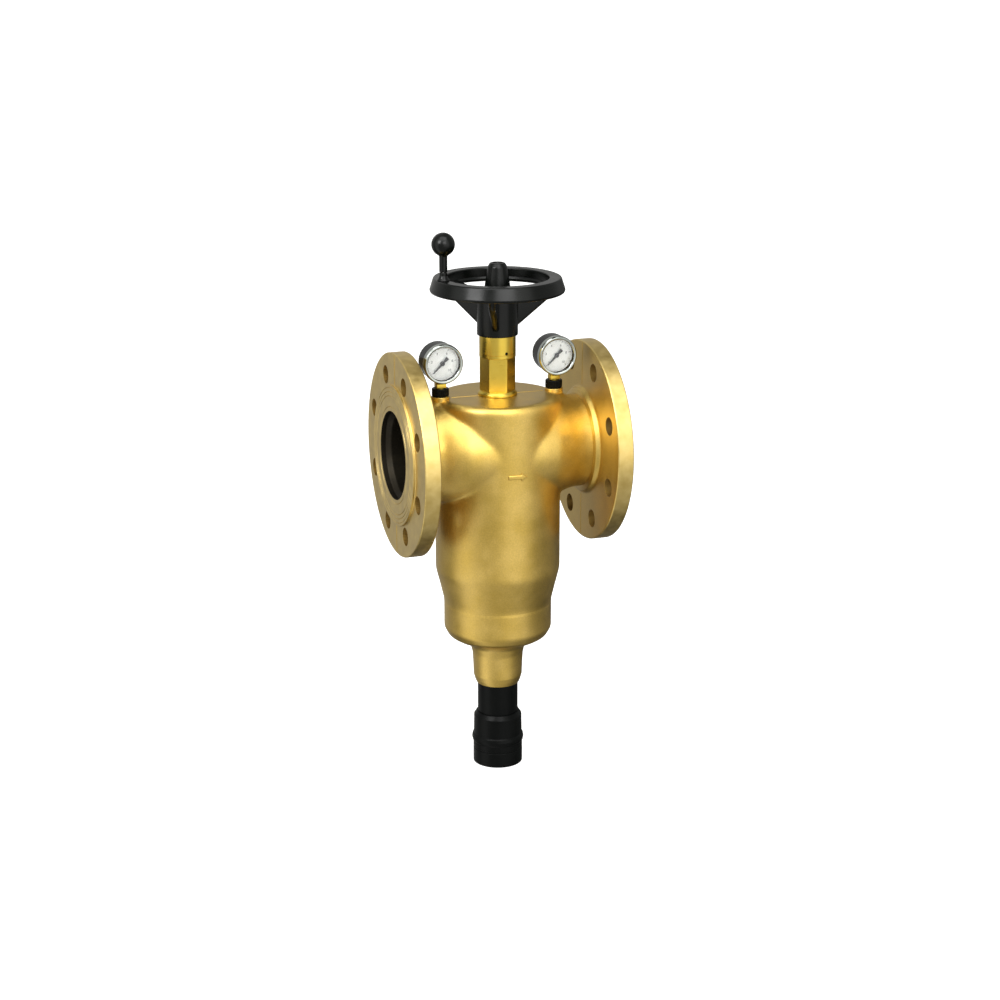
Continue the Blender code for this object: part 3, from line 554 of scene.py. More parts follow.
def make_nozzle_form():
    """Both nozzles as one through form, flared to melt into the body's front and back."""
    around = 96
    stations = [x * 4 - 92 for x in range(47)]
    shape = bmesh.new()
    rings = []
    for x in stations:
        wide, tall = section_at(abs(x))
        angles = [2 * math.pi * i / around for i in range(around)]
        rings.append([shape.verts.new((x * MM, wide * math.cos(a) * MM, tall * math.sin(a) * MM))
                      for a in angles])
    for ring, following in zip(rings, rings[1:]):
        for i in range(around):
            j = (i + 1) % around
            shape.faces.new((ring[i], ring[j], following[j], following[i]))
    shape.faces.new(rings[0])
    shape.faces.new(rings[-1])
    bmesh.ops.recalc_face_normals(shape, faces=shape.faces)
    return to_object("nozzle_form", shape)


GAUGE_CENTRES = {side: middle(side + "_gauge_dial") for side in ("inlet", "outlet")}


def make_rough_casting():
    body = lathe("housing_casting", [(0, BODY_TOP), (BODY_R, BODY_TOP, 6.5), (BODY_R, -123, 10),
                                     (57.4, -141),
                                     (53.9, -156), (53.9, FOOT_Z - 8), (0, FOOT_Z - 8)])
    bosses = [lathe("boss_form", [(0, 52), (9.6, 52), (10.2, 30), (0, 30)], centre=(centre.x, 0, 0))
              for centre in GAUGE_CENTRES.values()]
    combine(body, "UNION", make_nozzle_form(), *bosses)
    remesh = body.modifiers.new("sand", "REMESH")
    remesh.mode = "VOXEL"
    remesh.voxel_size = 1.5 * MM
    smooth = body.modifiers.new("fillets", "SMOOTH")
    smooth.factor = 0.5
    smooth.iterations = 22
    return applied(body)


casting = make_rough_casting()
print("rough casting:", len(casting.data.polygons), "faces")

# %% [markdown]
# ## Flanges
# A flange is a disc with a raised face that the gasket seals on, a bead where it meets the neck, and
# bolt holes on a circle. It is turned round the pipe axis with small broken edges, and drilled.

# %% Flanges
RAISED_H = 2.5
FLANGE_BACK = FLANGE_FACE - RAISED_H - 16.2
BOLT_CIRCLE_R = 80.0
BOLT_HOLE_R = 9.0
GROOVE_RADII = (47.4, 58.0, 62.0, 66.0)        # shallow gasket grooves in the raised face


def make_flange(name, side):
    grooves = [corner for radius in GROOVE_RADII for corner in (
        (radius - 0.4, FLANGE_FACE), (radius, FLANGE_FACE - 0.5), (radius + 0.4, FLANGE_FACE))]
    corners = [(30, FLANGE_FACE)] + grooves + [
               (69, FLANGE_FACE, 0.5), (69, FLANGE_FACE - RAISED_H, 0.8),
               (FLANGE_R, FLANGE_FACE - RAISED_H, 1.1), (FLANGE_R, FLANGE_BACK, 1.4),
               (53.5, FLANGE_BACK, 2.6), (51.2, 84.0, 1.7), (47.0, 82.8), (30, 82.8)]
    if side < 0:
        corners = mirrored(corners)
    flange = lathe(name, corners, closed=True, axis="X", steps=240)
    places = []
    for i in range(8):
        angle = math.radians(22.5 + 45 * i)
        places.append((side * 96, BOLT_CIRCLE_R * math.cos(angle), BOLT_CIRCLE_R * math.sin(angle)))
    return combine(flange, "DIFFERENCE", cylinders("bolt_drill", places, BOLT_HOLE_R, 40, axis="X"))


flanges = [make_flange("inlet_flange", -1), make_flange("outlet_flange", 1)]
print("flanges:", [len(flange.data.polygons) for flange in flanges])

# %% [markdown]
# ## Machining the casting
# The inside is bored: the cavity for the screen, a port through each flange, the collar that feeds the
# sleeve, and the holes in the top. All of it is built as one tool first, so the heavy casting is cut
# only once. Last, faces near the flange faces and the rims take the turned finish, the bores a
# near-black painted shade, and the bolt holes a drilled finish.

# %% Machining the casting
def make_port(name, side):
    inner = 36.0 if side < 0 else 40.0
    corners = [(0, 110), (43.4, 110), (43.4, 102, 1), (40, 97.5, 2), (40, 62), (inner, 58),
               (inner, 20), (0, 20)]
    if side < 0:
        corners = mirrored(corners)
    return lathe(name, corners, axis="X", steps=128)


def make_inside_tool():
    foot = FOOT_Z - 20
    cavity = lathe("inside_tool", [(0, 44), (55, 44, 3), (55, -124, 6), (46.5, -143.7), (50, -143.7),
                                   (50, FOOT_Z), (70, FOOT_Z), (70, foot), (0, foot)], steps=128)
    combine(cavity, "DIFFERENCE", cylinders("collar_form", [(-51, 0, 0)], 41.5, 14, axis="X", steps=96))
    sleeve_room = cylinders("sleeve_room", [(0, 0, -4.5)], 44.3, 95, steps=128)
    bonnet_hole = cylinders("bonnet_hole", [(0, 0, 50)], 14.3, 30, steps=64)
    taps = cylinders("gauge_taps", [(centre.x, 0, 55) for centre in GAUGE_CENTRES.values()], 5.9, 26)
    return combine(cavity, "UNION", sleeve_room, make_port("inlet_port", -1), make_port("outlet_port", 1),
                   bonnet_hole, taps)


def make_boss_tops():
    return [lathe("boss_top", [(0, BOSS_TOP), (9.0, BOSS_TOP, 0.7), (9.0, 50, 2), (8.0, 44), (0, 44)],
                  centre=(centre.x, 0, 0), steps=96) for centre in GAUGE_CENTRES.values()]


def finish_index(centre):
    """Which finish a face of the housing takes: 0 cast, 1 turned, 2 painted shade of the bores, 3 drilled.
    """
    along = abs(centre.x) / MM
    from_pipe = math.hypot(centre.y, centre.z) / MM
    from_body = math.hypot(centre.x, centre.y) / MM
    height = centre.z / MM
    in_port = from_pipe < 43.7 and 40 < along < 106.5
    in_cavity = FOOT_Z + 0.5 < height < 44.5 and from_body < (55.3 if height > -140 else 50.2)
    # Faces in the ports and the cavity take the near-black painted shade.
    if in_port or in_cavity:
        return 2
    in_flange = FLANGE_BACK + 0.2 < along < FLANGE_FACE - RAISED_H - 0.2
    if in_flange and abs(from_pipe - BOLT_CIRCLE_R) < BOLT_HOLE_R + 0.2:
        return 3
    if along > FLANGE_FACE - RAISED_H - 0.6 or (in_flange and from_pipe > FLANGE_R - 1.2):
        return 1
    return 0


combine(casting, "UNION", *flanges, *make_boss_tops())
combine(casting, "DIFFERENCE", make_inside_tool())
settle(casting, CAST_GUNMETAL, "filter_body", "cast_gunmetal", "housing")
for extra in (TURNED_GUNMETAL, BORE_PAINTED_SHADE, DRILLED):
    casting.data.materials.append(extra)
for face in casting.data.polygons:
    face.material_index = finish_index(face.center)
print("housing:", len(casting.data.polygons), "faces")

# %% [markdown]
# ## Mould seam
# Where the two mould halves met, a fin of metal is ground nearly flush and leaves a fine ridge. It runs
# over the flat top and up and down the flanges, always in the plane Y = 0. Thin bars, sunk by half,
# draw it there as real geometry.

# %% Mould seam
SEAM_W = 0.5


def make_seam():
    rim_x = FLANGE_FACE - RAISED_H
    bars = [((-47, BODY_TOP), (47, BODY_TOP))]
    for side in (-1, 1):
        for way in (-1, 1):
            bars.append(((side * rim_x, way * 70.5), (side * rim_x, way * 98.2)))
            bars.append(((side * FLANGE_BACK, way * 56.5), (side * FLANGE_BACK, way * 98.0)))
    shape = bmesh.new()
    for start, end in bars:
        centre = Vector(((start[0] + end[0]) / 2, 0, (start[1] + end[1]) / 2)) * MM
        size = Matrix.Diagonal(((abs(end[0] - start[0]) + SEAM_W) * MM, SEAM_W * MM,
                                (abs(end[1] - start[1]) + SEAM_W) * MM, 1))
        bmesh.ops.create_cube(shape, size=1.0, matrix=Matrix.Translation(centre) @ size)
    bmesh.ops.bevel(shape, geom=shape.edges[:], offset=0.15 * MM, segments=3, profile=0.5, affect="EDGES")
    settle(to_object("mould_seam", shape), CAST_GUNMETAL, "filter_body", "cast_gunmetal")
    print("seam bars:", len(bars))


make_seam()

# %% [markdown]
# ## Flow arrow
# The pattern maker puts a raised arrow on the mould to show which way the water goes. It is an outline
# with soft edges, bent to follow the round body.

# %% Flow arrow
ARROW_Z = -15.6


def make_flow_arrow():
    outline = [(-9.8, -2.0), (3.2, -2.0), (3.2, -4.1), (9.8, 0), (3.2, 4.1), (3.2, 2.0), (-9.8, 2.0)]
    arrow = prism("flow_arrow", outline, 3.0, 0.7)
    for vert in arrow.data.vertices:
        sag = BODY_R * MM - math.sqrt((BODY_R * MM) ** 2 - vert.co.x ** 2)
        vert.co.y += sag - (BODY_R - 0.4) * MM
        vert.co.z += ARROW_Z * MM
    return settle(arrow, CAST_GUNMETAL, "filter_body", "cast_gunmetal")


make_flow_arrow()
print("flow arrow on the front")

# %% [markdown]
# ## Bottom bowl
# The bowl screws into the housing's foot. It is one turned outline, outside and inside: a short
# cylinder, a belly, and a neck for the drain pipe.

# %% Bottom bowl
def make_bowl():
    low, high = span("bottom_bowl")
    outer = [(44.4, high.z), (49.6, high.z, 0.6), (49.6, FOOT_Z - 0.1), (53.6, FOOT_Z - 0.1),
             (53.8, FOOT_Z - 3), (53.8, -185, 9), (49.6, -192.6, 9), (43.5, -196.2, 8), (31.0, -200.6, 5),
             (27.6, -205.5, 6), (25.6, -213, 10), (24.9, -224), (24.4, -237, 3), (23.0, -241.8, 3),
             (21.5, low.z, 0.4)]
    inner = [(20.6, low.z), (20.6, -224), (12.5, -224), (12.5, -216.3), (16.3, -216.3), (16.3, -192.6),
             (33, -192.6, 4), (40, -186, 4), (40, -152), (44.4, -152)]
    return lathe("bowl_casting", outer + inner, closed=True, steps=192)


settle(make_bowl(), CAST_GUNMETAL, "filter_body", "cast_gunmetal", "bottom_bowl")
print("bowl down to z =", round(span("bottom_bowl")[0].z, 1))

# %% [markdown]
# ## Bonnet
# The bonnet is turned and milled from brass bar: a foot ring, a hexagon for the spanner and a round
# collar that the handwheel's hub runs over. The hexagon is a six-sided cylinder whose corners a cone
# has taken off, as a lathe does on every real nut.

# %% Bonnet
HEX_FLATS = 30.3
HEX_TURN = math.radians(-106.4)
LOCK_HOLE_TURN = math.radians(-79)
LOCK_HOLE_Z = 96.3


def make_bonnet():
    low, high = span("bonnet")
    collar = lathe("bonnet_turned", [(7.0, high.z), (17.8, high.z, 0.8), (17.8, 95.1), (17.45, 94.9),
                                     (17.45, 94.5), (17.8, 94.3), (17.8, 91.0, 0.5), (13, 90.4),
                                     (13, 58.4), (17.4, 57.6, 0.8), (19.2, 55.4, 1.2), (19.4, 53.2, 0.3),
                                     (14.1, 53.2), (14.1, low.z), (7.0, low.z)], closed=True)
    shape = bmesh.new()
    corner = HEX_FLATS / math.sqrt(3)
    bmesh.ops.create_cone(shape, cap_ends=True, segments=6, radius1=corner * MM, radius2=corner * MM,
                          depth=36 * MM, matrix=Matrix.Translation((0, 0, 74 * MM)))
    bmesh.ops.rotate(shape, verts=shape.verts, matrix=Matrix.Rotation(HEX_TURN, 3, "Z"))
    upright = [edge for edge in shape.edges if abs(edge.verts[0].co.z - edge.verts[1].co.z) > MM]
    bmesh.ops.bevel(shape, geom=upright, offset=0.25 * MM, segments=3, profile=0.5, affect="EDGES")
    hexagon = to_object("hexagon", shape)
    envelope = lathe("chamfer", [(0, 91.6), (15.6, 91.6), (17.7, 90.2), (17.7, 58.4), (15.8, 56.6),
                                 (0, 56.6)])
    combine(hexagon, "INTERSECT", envelope)
    combine(hexagon, "DIFFERENCE", cylinders("hex_bore", [(0, 0, 74)], 10, 60))
    bonnet = combine(collar, "UNION", hexagon)
    way = Vector((math.cos(LOCK_HOLE_TURN), math.sin(LOCK_HOLE_TURN), 0))
    shape = bmesh.new()
    spot = (Matrix.Translation((way * 16 + Vector((0, 0, LOCK_HOLE_Z))) * MM)
            @ way.to_track_quat("Z", "Y").to_matrix().to_4x4())
    bmesh.ops.create_cone(shape, cap_ends=True, segments=32, radius1=1.6 * MM, radius2=1.6 * MM,
                          depth=8 * MM, matrix=spot)
    return combine(bonnet, "DIFFERENCE", to_object("lock_hole", shape))


settle(make_bonnet(), TURNED_BRASS, "filter_body", "machined_brass", "bonnet", "bonnet_gasket")
print("bonnet made")

# %% [markdown]
# ## Handwheel
# The wheel is one phenolic moulding: a rim with a lip inside, a hub with a skirt that covers the
# bonnet's collar, and three webs between them. The rim and hub are turned outlines, so that their
# reflections run clean, and the webs are thin prisms with a round lower edge.

# %% Handwheel
SPOKE_ANGLES = (-113.9, 6.1, 126.1)
WEB_THICKNESS = 7.0


def make_handwheel():
    low, high = span("handwheel")
    top = high.z
    hub = lathe("handwheel_moulding", [(6.3, 152, 0.5), (17.0, 152, 2.0), (20.0, 148.5, 3.5),
                                       (20.0, low.z, 1.1), (18.2, low.z, 0.4), (18.2, 128.5),
                                       (6.3, 128.5)], closed=True, steps=160)
    rim = lathe("rim", [(50.3, top, 1.1), (62.0, top, 2.0), (65.7, 157.2, 1.2), (65.0, 154.9, 1.4),
                        (58, 154.2, 3), (52.5, 155.6, 2), (48.9, 156.3, 1.0), (48.9, 158.8, 1.0),
                        (50.3, 160.2, 0.7)], closed=True, steps=256)
    web = [(15, 115.6), (19.6, 118.8), (52, 141.8), (59, 148.3), (62.3, 155.5), (51, 160.5),
           (18.6, 151.5), (15, 150.5)]
    webs = [prism("web", web, WEB_THICKNESS, 0.8, turn, belly=5, belly_soft=3.0) for turn in SPOKE_ANGLES]
    combine(hub, "UNION", rim, *webs)
    grip_hole = cylinders("grip_hole", [(GRIP.x, GRIP.y, 160)], 2.6, 40)
    skirt = cylinders("skirt_room", [(0, 0, 118.3)], 18.2, 20.4, steps=160)
    bore = cylinders("hub_bore", [(0, 0, 140)], 6.3, 40)
    return combine(hub, "DIFFERENCE", skirt, bore, grip_hole)


settle(make_handwheel(), PHENOLIC, "turning_set", "black_phenolic", "handwheel")


def make_hub_cap():
    top = span("hub_cap")[1].z
    return lathe("hub_cap_moulding", [(0, top - 0.8), (4.6, top - 0.8, 0.6), (5.2, top, 0.5),
                                      (7.2, top, 1.8),
                                      (9.4, top - 3.6, 2.4), (12.8, 158.2, 1), (12.9, 152.3, 0.5),
                                      (9.6, 152.3), (9.6, 160), (0, 160)])


settle(make_hub_cap(), PHENOLIC, "turning_set", "black_phenolic", "hub_cap")
print("handwheel and cap made")

# %% [markdown]
# ## Crank grip
# A flared foot stands on the rim and holds a steel pin. The grip, a stem with a ball, turns on the pin,
# so it rides on its own body. A small flare joins stem and ball.

# %% Crank grip
BALL_R = 11.3


def make_crank():
    place = (GRIP.x, GRIP.y, 0)
    foot = lathe("crank_foot_moulding", [(2.3, 176.9), (3.7, 176.9, 0.7), (3.9, 173.5, 2), (5.0, 171.0, 2),
                                         (6.6, 169.3, 0.2), (2.3, 169.3)],
                 closed=True, centre=place, steps=64)
    settle(foot, PHENOLIC, "turning_set", "black_phenolic", "crank_foot")
    pin = lathe("crank_pin_turned", [(0, 197), (2.0, 197, 0.4), (2.0, 152, 0.4), (0, 152)],
                centre=place, steps=32)
    settle(pin, STAINLESS, "turning_set", "stainless_steel", "crank_pin")
    top = span("crank_grip")[1].z
    centre = top - BALL_R
    ball = [(BALL_R * math.cos(math.radians(a)), centre + BALL_R * math.sin(math.radians(a)))
            for a in range(84, -67, -6)]
    grip = lathe("crank_grip_moulding", [(0, top)] + ball + [(3.9, centre - 11.6, 1), (3.9, 177.3, 0.5),
                 (2.3, 177.3), (2.3, 198), (0, 198)], centre=place, steps=96)
    settle(grip, PHENOLIC, "crank_grip_body", "black_phenolic", "crank_grip")


make_crank()
print("crank grip at", round(GRIP.x, 1), round(GRIP.y, 1))

# %% [markdown]
# ## Drain pipe and socket
# The black pipe drops from the bowl's neck into a push-fit socket. The socket has a tapered shoulder, a
# bead that houses the lip seal, and shallow grooves from the mould.

# %% Drain pipe and socket
def make_drain():
    low, high = span("drain_pipe")
    pipe = lathe("drain_pipe_tube", [(14.5, high.z), (20.3, high.z, 0.4), (20.3, low.z, 0.4),
                                     (14.5, low.z)],
                 closed=True)
    settle(pipe, POLYPROPYLENE, "filter_body", "black_plastic", "drain_pipe")
    low, high = span("drain_socket")
    outer = [(20.6, high.z), (21.4, high.z, 0.4), (24.2, -281.2, 1.2), (24.5, -300.8, 0.3),
             (25.6, -301.8, 0.8), (26.3, -305, 1.6), (25.6, -308.2, 0.8), (24.9, -309.4, 0.4),
             (24.9, -315.2, 0.3), (24.3, -315.6), (24.3, -316.6), (24.9, -317.0, 0.3), (24.9, low.z, 0.7)]
    inner = [(21.2, low.z), (21.2, -308), (24, -308), (24, -302), (21.2, -302), (21.2, -299.5),
             (17, -299.5), (17, -296), (20.6, -296)]
    socket = lathe("drain_socket_moulding", outer + inner, closed=True)
    settle(socket, POLYPROPYLENE, "filter_body", "black_plastic", "drain_socket")


make_drain()
print("drain made")

# %% [markdown]
# ## Pressure gauges
# Each gauge is a pressed case with a bright ring, an acrylic window and a white enamelled dial. The
# stem has a square for the spanner, and a knurled black bush seals it into the boss. Both gauges are
# the same, so one set of functions builds them at the dial's centre.

# %% Gauge shell
def make_gauge_shell(side, centre):
    place = (centre.x, 0, centre.z)
    node = side + "_gauge_"
    case = lathe(node + "case_pressing", [(0, 12.0), (18.8, 12.0, 2.2), (18.8, -8.7), (16.9, -8.7),
                                          (16.9, 10.4, 1), (0, 10.4)], axis="Y", centre=place, steps=96)
    entry = cylinders("stem_entry", [(centre.x, 0, centre.z - 18)], 5.3, 8)
    combine(case, "DIFFERENCE", entry)
    settle(case, CASE_ENAMEL, "filter_body", "black_plastic", node + "case")
    ring = lathe(node + "bezel_ring", [(18.95, -6.2, 0.2), (19.6, -6.2, 0.3), (19.6, -11.4, 1.2),
                                       (18.4, -13.0, 0.7), (16.7, -12.7, 0.4), (16.4, -12.4),
                                       (17.4, -12.3), (17.4, -9.0), (18.95, -9.0)],
                 closed=True, axis="Y", centre=place, steps=96)
    settle(ring, RING_STEEL, "filter_body", "stainless_steel", node + "bezel")
    window = lathe(node + "window_acrylic", [(0, -10.9), (17.1, -10.9), (17.1, -11.9, 0.2),
                                             (12, -12.15, 20),
                                             (0, -12.2)], axis="Y", centre=place, steps=96)
    settle(window, ACRYLIC, "filter_body", "clear_window", node + "window")
    dial = lathe(node + "dial_plate", [(1.6, -5.4), (16.6, -5.4), (16.6, -5.9, 0.2), (16.3, -6.0),
                                       (1.6, -6.0)], closed=True, axis="Y", centre=place, steps=96)
    settle(dial, DIAL_ENAMEL, "filter_body", "white_plastic", node + "dial")


for side, centre in GAUGE_CENTRES.items():
    make_gauge_shell(side, centre)
print("gauge centres:", [tuple(round(v, 1) for v in centre) for centre in GAUGE_CENTRES.values()])

# %% [markdown]
# ## Dial print
# The scale runs over 270 degrees, from 0 at lower left to 10 at lower right, with plain numbers. The
# numbers are text objects in Blender's own font. They and the division lines become thin solids that
# stand 0.03 mm off the dial, so the print is real geometry, and prints cleanly from any distance.

# %% Dial print
DIAL_FRONT = -6.0
PRINT_Y = DIAL_FRONT - 0.03
SCALE_START = 225.0
SCALE_SWEEP = 270.0
LARGEST = 10


def on_dial(value, radius):
    """Place on the dial of a scale value, as (x, z) from its centre."""
    angle = math.radians(SCALE_START - SCALE_SWEEP * value / LARGEST)
    return radius * math.cos(angle), radius * math.sin(angle), angle


def stroke(shape, value, inner, outer, width):
    """One thin line across the scale."""
    x, z, angle = on_dial(value, (inner + outer) / 2)
    size = Matrix.Diagonal(((outer - inner) * MM, 0.04 * MM, width * MM, 1))
    place = Matrix.Translation((x * MM, PRINT_Y * MM, z * MM)) @ Matrix.Rotation(-angle, 4, "Y")
    bmesh.ops.create_cube(shape, size=1.0, matrix=place @ size)


def add_numeral(shape, value):
    text = bpy.data.curves.new("numeral", "FONT")
    text.body = str(value)
    text.size = 3.4 * MM
    text.align_x = "CENTER"
    text.align_y = "CENTER"
    text.extrude = 0.02 * MM
    holder = bpy.data.objects.new("numeral", text)
    bpy.context.scene.collection.objects.link(holder)
    bpy.context.view_layer.update()
    mesh = bpy.data.meshes.new_from_object(holder.evaluated_get(bpy.context.evaluated_depsgraph_get()))
    x, z, _ = on_dial(value, 10.4)
    upright = Matrix.Rotation(math.radians(90), 4, "X")
    mesh.transform(Matrix.Translation((x * MM, PRINT_Y * MM, z * MM)) @ upright)
    shape.from_mesh(mesh)
    bpy.data.objects.remove(holder)
    bpy.data.meshes.remove(mesh)


def make_print(side, centre):
    shape = bmesh.new()
    for tenth in range(LARGEST * 5 + 1):
        value = tenth / 5
        if tenth % 10 == 0:
            stroke(shape, value, 12.7, 15.3, 0.34)
            add_numeral(shape, round(value))
        elif tenth % 5 == 0:
            stroke(shape, value, 13.4, 15.3, 0.26)
        else:
            stroke(shape, value, 14.2, 15.3, 0.16)
    bmesh.ops.remove_doubles(shape, verts=shape.verts, dist=0.000002)
    marks = to_object(side + "_gauge_print", shape, (centre.x, 0, centre.z))
    settle(marks, PRINT_INK, "filter_body", "black_plastic")


for side, centre in GAUGE_CENTRES.items():
    make_print(side, centre)
print("numbers 0 to", LARGEST)

# %% [markdown]
# ## Pointer
# The pointer has a long thin tip, a round boss and a short broad tail that balances it. At rest it
# points to zero, at lower left, and its own body turns it clockwise.

# %% Pointer
def make_pointer(side, centre):
    place = (centre.x, 0, centre.z)
    arbor = lathe(side + "_gauge_pointer_blade", [
        (0, -1.0), (1.2, -1.0), (1.2, -7.2), (2.3, -7.2), (2.3, -8.5, 0.3), (0.9, -8.7), (0.8, -9.2, 0.3),
        (0, -9.2)], axis="Y", centre=place, steps=48)
    outline = [(-7.4, -1.9), (-2.6, -1.1), (0, -1.3), (13.0, -0.4), (13.0, 0.4), (0, 1.3), (-2.6, 1.1),
               (-7.4, 1.9)]
    tip = math.radians(SCALE_START)
    turned = [(u * math.cos(tip) - v * math.sin(tip), u * math.sin(tip) + v * math.cos(tip))
              for u, v in outline]
    blade = prism("blade", turned, 0.45, 0.08)
    blade.location = Vector((centre.x, -7.9, centre.z)) * MM
    combine(arbor, "UNION", blade)
    settle(arbor, PRINT_INK, side + "_pointer_body", "black_plastic", side + "_gauge_pointer")


for side, centre in GAUGE_CENTRES.items():
    make_pointer(side, centre)
print("pointers at rest on", SCALE_START, "degrees")

# %% [markdown]
# ## Gauge stem and knurled bush
# A knurl is a band of fine ribs that gives fingers a grip. The bush is a turned ring whose rim radius
# rises and falls round the axis, thirty times.

# %% Gauge stem and knurled bush
KNURL_RIBS = 30
KNURL_DEPTH = 0.022                            # share of the rim's radius


def make_bush(side, centre):
    low, high = span(side + "_gauge_bush")
    bush = lathe(side + "_gauge_bush_moulding", [
        (5.0, high.z), (7.9, high.z, 0.5), (8.4, high.z - 1.0, 0.3), (8.4, low.z + 10.8, 0.3),
        (7.9, low.z + 9.8, 0.3), (5.6, low.z + 9.8), (5.6, low.z), (5.0, low.z)], closed=True,
                 centre=(centre.x, 0, 0), steps=240)
    for vert in bush.data.vertices:
        reach = math.hypot(vert.co.x, vert.co.y)
        if reach > 8.2 * MM:
            rib = 1 + KNURL_DEPTH * (math.cos(KNURL_RIBS * math.atan2(vert.co.y, vert.co.x)) - 1)
            vert.co.x *= rib
            vert.co.y *= rib
    settle(bush, POLYPROPYLENE, "filter_body", "black_plastic", side + "_gauge_bush")


def make_stem(side, centre):
    low, high = span(side + "_gauge_stem")
    stem = lathe(side + "_gauge_stem_turned", [(0, high.z), (4.7, high.z, 0.4), (4.7, low.z, 0.6),
                                               (0, low.z)],
                 centre=(centre.x, 0, 0), steps=64)
    square = prism("square", [(-4.8, 64.1), (4.8, 64.1), (4.8, 68.3), (-4.8, 68.3)], 9.6, 0.5)
    square.location.x = centre.x * MM
    combine(stem, "UNION", square)
    settle(stem, TURNED_BRASS, "filter_body", "machined_brass", side + "_gauge_stem")


for side, centre in GAUGE_CENTRES.items():
    make_bush(side, centre)
    make_stem(side, centre)
print("stems and bushes made")

# %% [markdown]
# ## Finishes for the pieces that keep their CAD shape
# Seals, pins and the works inside stay as the frame has them. Each gets the finish of its slot in the
# record, and the screen its weave.

# %% Finishes for carried-over pieces
OWN_FINISH = {"screen_mesh": WOVEN_WIRE, "bonnet_lock_screw": BLACK_OXIDE}
slot_of = {part["node"]: part["material_slot"] for part in frame["record"]["subparts"]}
for name, node in frame["nodes"].items():
    finish = OWN_FINISH.get(name, FINISH_OF_SLOT[slot_of[name]])
    for slot in node.material_slots:
        slot.material = finish
print("carried-over nodes finished:", len(slot_of))

# %% [markdown]
# ## Floor, light and camera
# A pale floor and soft boxes, as in a product studio. Metal shows what it mirrors, so the boxes matter
# more than their brightness: one to the left, one to the right of the camera, one overhead, and a
# darker room behind that the top face mirrors.

# %% Floor
def make_floor():
    shape = bmesh.new()
    bmesh.ops.create_grid(shape, x_segments=1, y_segments=1, size=40.0)
    floor = to_object("studio_floor", shape)
    floor.location.z = CAD_BOX[0][2] - 0.0005
    finish, tree, shader = new_finish("matt_white_paper", {
        "Roughness": 0.9, "Specular IOR Level": 0.2, "Emission Color": colour("FFFFFF"),
        "Emission Strength": 0.5})
    place = add_node(tree, "ShaderNodeTexCoord").outputs["Object"]
    fibres = add_node(tree, "ShaderNodeTexNoise", inputs={"Vector": place, "Scale": per_metre(4)})
    tone = add_node(tree, "ShaderNodeMix", {"data_type": "RGBA"}, {
        0: fibres.outputs["Fac"], 6: colour("F6F6F5"), 7: colour("F9F9F8")})
    feed(tree, shader, {"Base Color": tone.outputs[2]})
    floor.data.materials.append(finish)
    floor.visible_glossy = False
    floor.visible_shadow = False


make_floor()
print("floor at z =", round(CAD_BOX[0][2], 4))

# %% Light
VIEW_AZIMUTH = math.radians(-18.9)


def way_to(azimuth, elevation):
    """Unit vector away from the filter, at degrees round from the camera's side and up."""
    turn = VIEW_AZIMUTH + math.radians(azimuth)
    rise = math.radians(elevation)
    return Vector((math.sin(turn) * math.cos(rise), -math.cos(turn) * math.cos(rise), math.sin(rise)))


def add_softbox(name, azimuth, elevation, distance, size, power):
    """Area light at an angle from the camera's side, aimed at the filter."""
    way = way_to(azimuth, elevation)
    lamp = bpy.data.lights.new(name, "AREA")
    lamp.shape = "RECTANGLE"
    lamp.size, lamp.size_y = size
    lamp.energy = power
    holder = bpy.data.objects.new(name, lamp)
    bpy.context.scene.collection.objects.link(holder)
    holder.location = way * distance
    holder.rotation_euler = way.to_track_quat("Z", "Y").to_euler()


add_softbox("softbox_front", 14, 30, 1.9, (1.0, 0.8), 11)
add_softbox("softbox_left", -40, 34, 1.9, (0.8, 0.8), 21)
add_softbox("softbox_top", 0, 68, 2.0, (1.8, 1.4), 22)
print("three soft boxes")

# %% [markdown]
# ## The room that the metal mirrors
# Tall paper screens stand round a product on a studio table, and reach below the table's edge. Here the
# world itself holds them, as glows with soft edges: each is bright near one compass direction and
# fades out beside it. What lies behind and below stays dim, which draws a dark edge on round pieces.

# %% Room
world = bpy.data.worlds.new("studio")
bpy.context.scene.world = world
world.use_nodes = True
sky = world.node_tree
direction = add_node(sky, "ShaderNodeTexCoord").outputs["Generated"]
level = add_node(sky, "ShaderNodeVectorMath", {"operation": "MULTIPLY"}, {0: direction, 1: (1, 1, 0)})
compass = add_node(sky, "ShaderNodeVectorMath", {"operation": "NORMALIZE"}, {0: level.outputs[0]})
height = add_node(sky, "ShaderNodeSeparateXYZ", inputs={0: direction}).outputs["Z"]


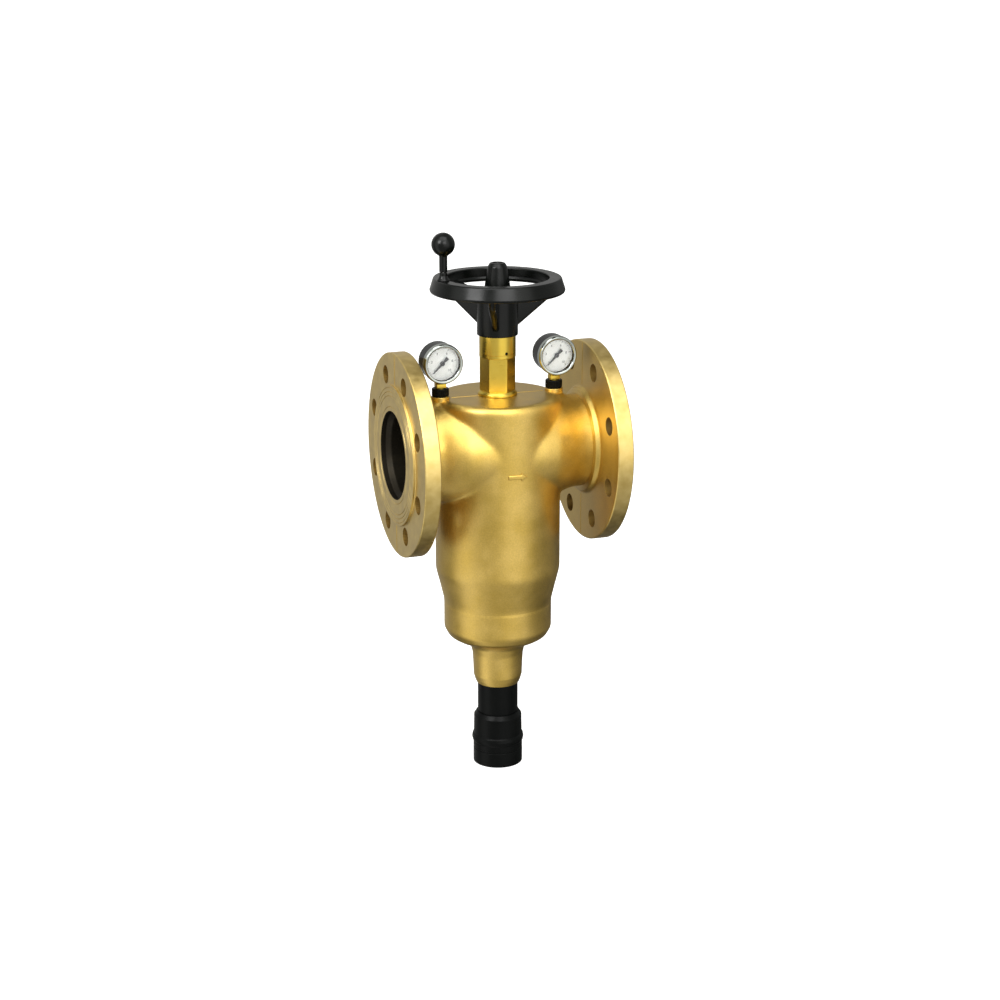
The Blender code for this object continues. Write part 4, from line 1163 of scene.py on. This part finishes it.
def add_screen(azimuth, bright, edge, strength, foot):
    """Glow that is full within bright degrees of a compass direction and gone at edge degrees.

    It fades out downwards, over half a radius of the sky, and is gone at height foot.
    """
    near = add_node(sky, "ShaderNodeVectorMath", {"operation": "DOT_PRODUCT"}, {
        0: compass.outputs[0], 1: tuple(way_to(azimuth, 0))})
    glow = add_node(sky, "ShaderNodeMapRange", {"interpolation_type": "SMOOTHSTEP"}, {
        "Value": near.outputs["Value"], "From Min": math.cos(math.radians(edge)),
        "From Max": math.cos(math.radians(bright)), "To Min": 0.0, "To Max": strength})
    rise = add_node(sky, "ShaderNodeMapRange", {"interpolation_type": "SMOOTHSTEP"}, {
        "Value": height, "From Min": foot, "From Max": foot + 0.5})
    return add_node(sky, "ShaderNodeMath", {"operation": "MULTIPLY"}, {
        0: glow.outputs["Result"], 1: rise.outputs["Result"]}).outputs[0]


total = add_node(sky, "ShaderNodeMapRange", {"interpolation_type": "SMOOTHSTEP"}, {
    "Value": height, "From Min": -0.35, "From Max": 0.45, "To Min": 0.09, "To Max": 0.28}).outputs["Result"]
# (azimuth, bright, edge, strength, foot) of each screen
SCREENS = ((36, 16, 34, 1.15, -0.5), (-66, 10, 26, 0.9, -1.5), (-140, 20, 60, 0.35, -0.8),
           (0, 30, 110, 0.5, -1.5), (110, 10, 40, 0.25, -0.5))
for screen in SCREENS:
    total = add_node(sky, "ShaderNodeMath", {"operation": "ADD"}, {
        0: total, 1: add_screen(*screen)}).outputs[0]
seen = add_node(sky, "ShaderNodeLightPath")
strength = add_node(sky, "ShaderNodeMix", {"data_type": "FLOAT"}, {
    0: seen.outputs["Is Camera Ray"], 2: total, 3: 0.97})
back = sky.nodes["Background"]
back.inputs["Color"].default_value = colour("FBFBF8")
sky.links.new(strength.outputs[0], back.inputs["Strength"])
bpy.context.scene.view_settings.view_transform = "Standard"
print("room with", len(SCREENS), "screens")

# %% [markdown]
# ## Camera
# A long lens from about two metres keeps the flanges' ovals close to true, as product pictures do. It
# looks slightly down, and a little from the inlet's side.

# %% Camera
VIEW_TARGET = Vector((6.2, 0, -54.0)) * MM
VIEW_ELEVATION = 16.1
VIEW_DISTANCE = 2.127


def aim_camera():
    away = way_to(0, VIEW_ELEVATION)
    lens = bpy.data.cameras.new("camera")
    lens.sensor_width = 36.0
    lens.lens = 77.1
    lens.shift_x = -0.0035
    lens.shift_y = -0.0015
    camera = bpy.data.objects.new("camera", lens)
    bpy.context.scene.collection.objects.link(camera)
    camera.location = VIEW_TARGET + away * VIEW_DISTANCE
    camera.rotation_euler = away.to_track_quat("Z", "Y").to_euler()
    bpy.context.scene.camera = camera


aim_camera()
print("camera set")
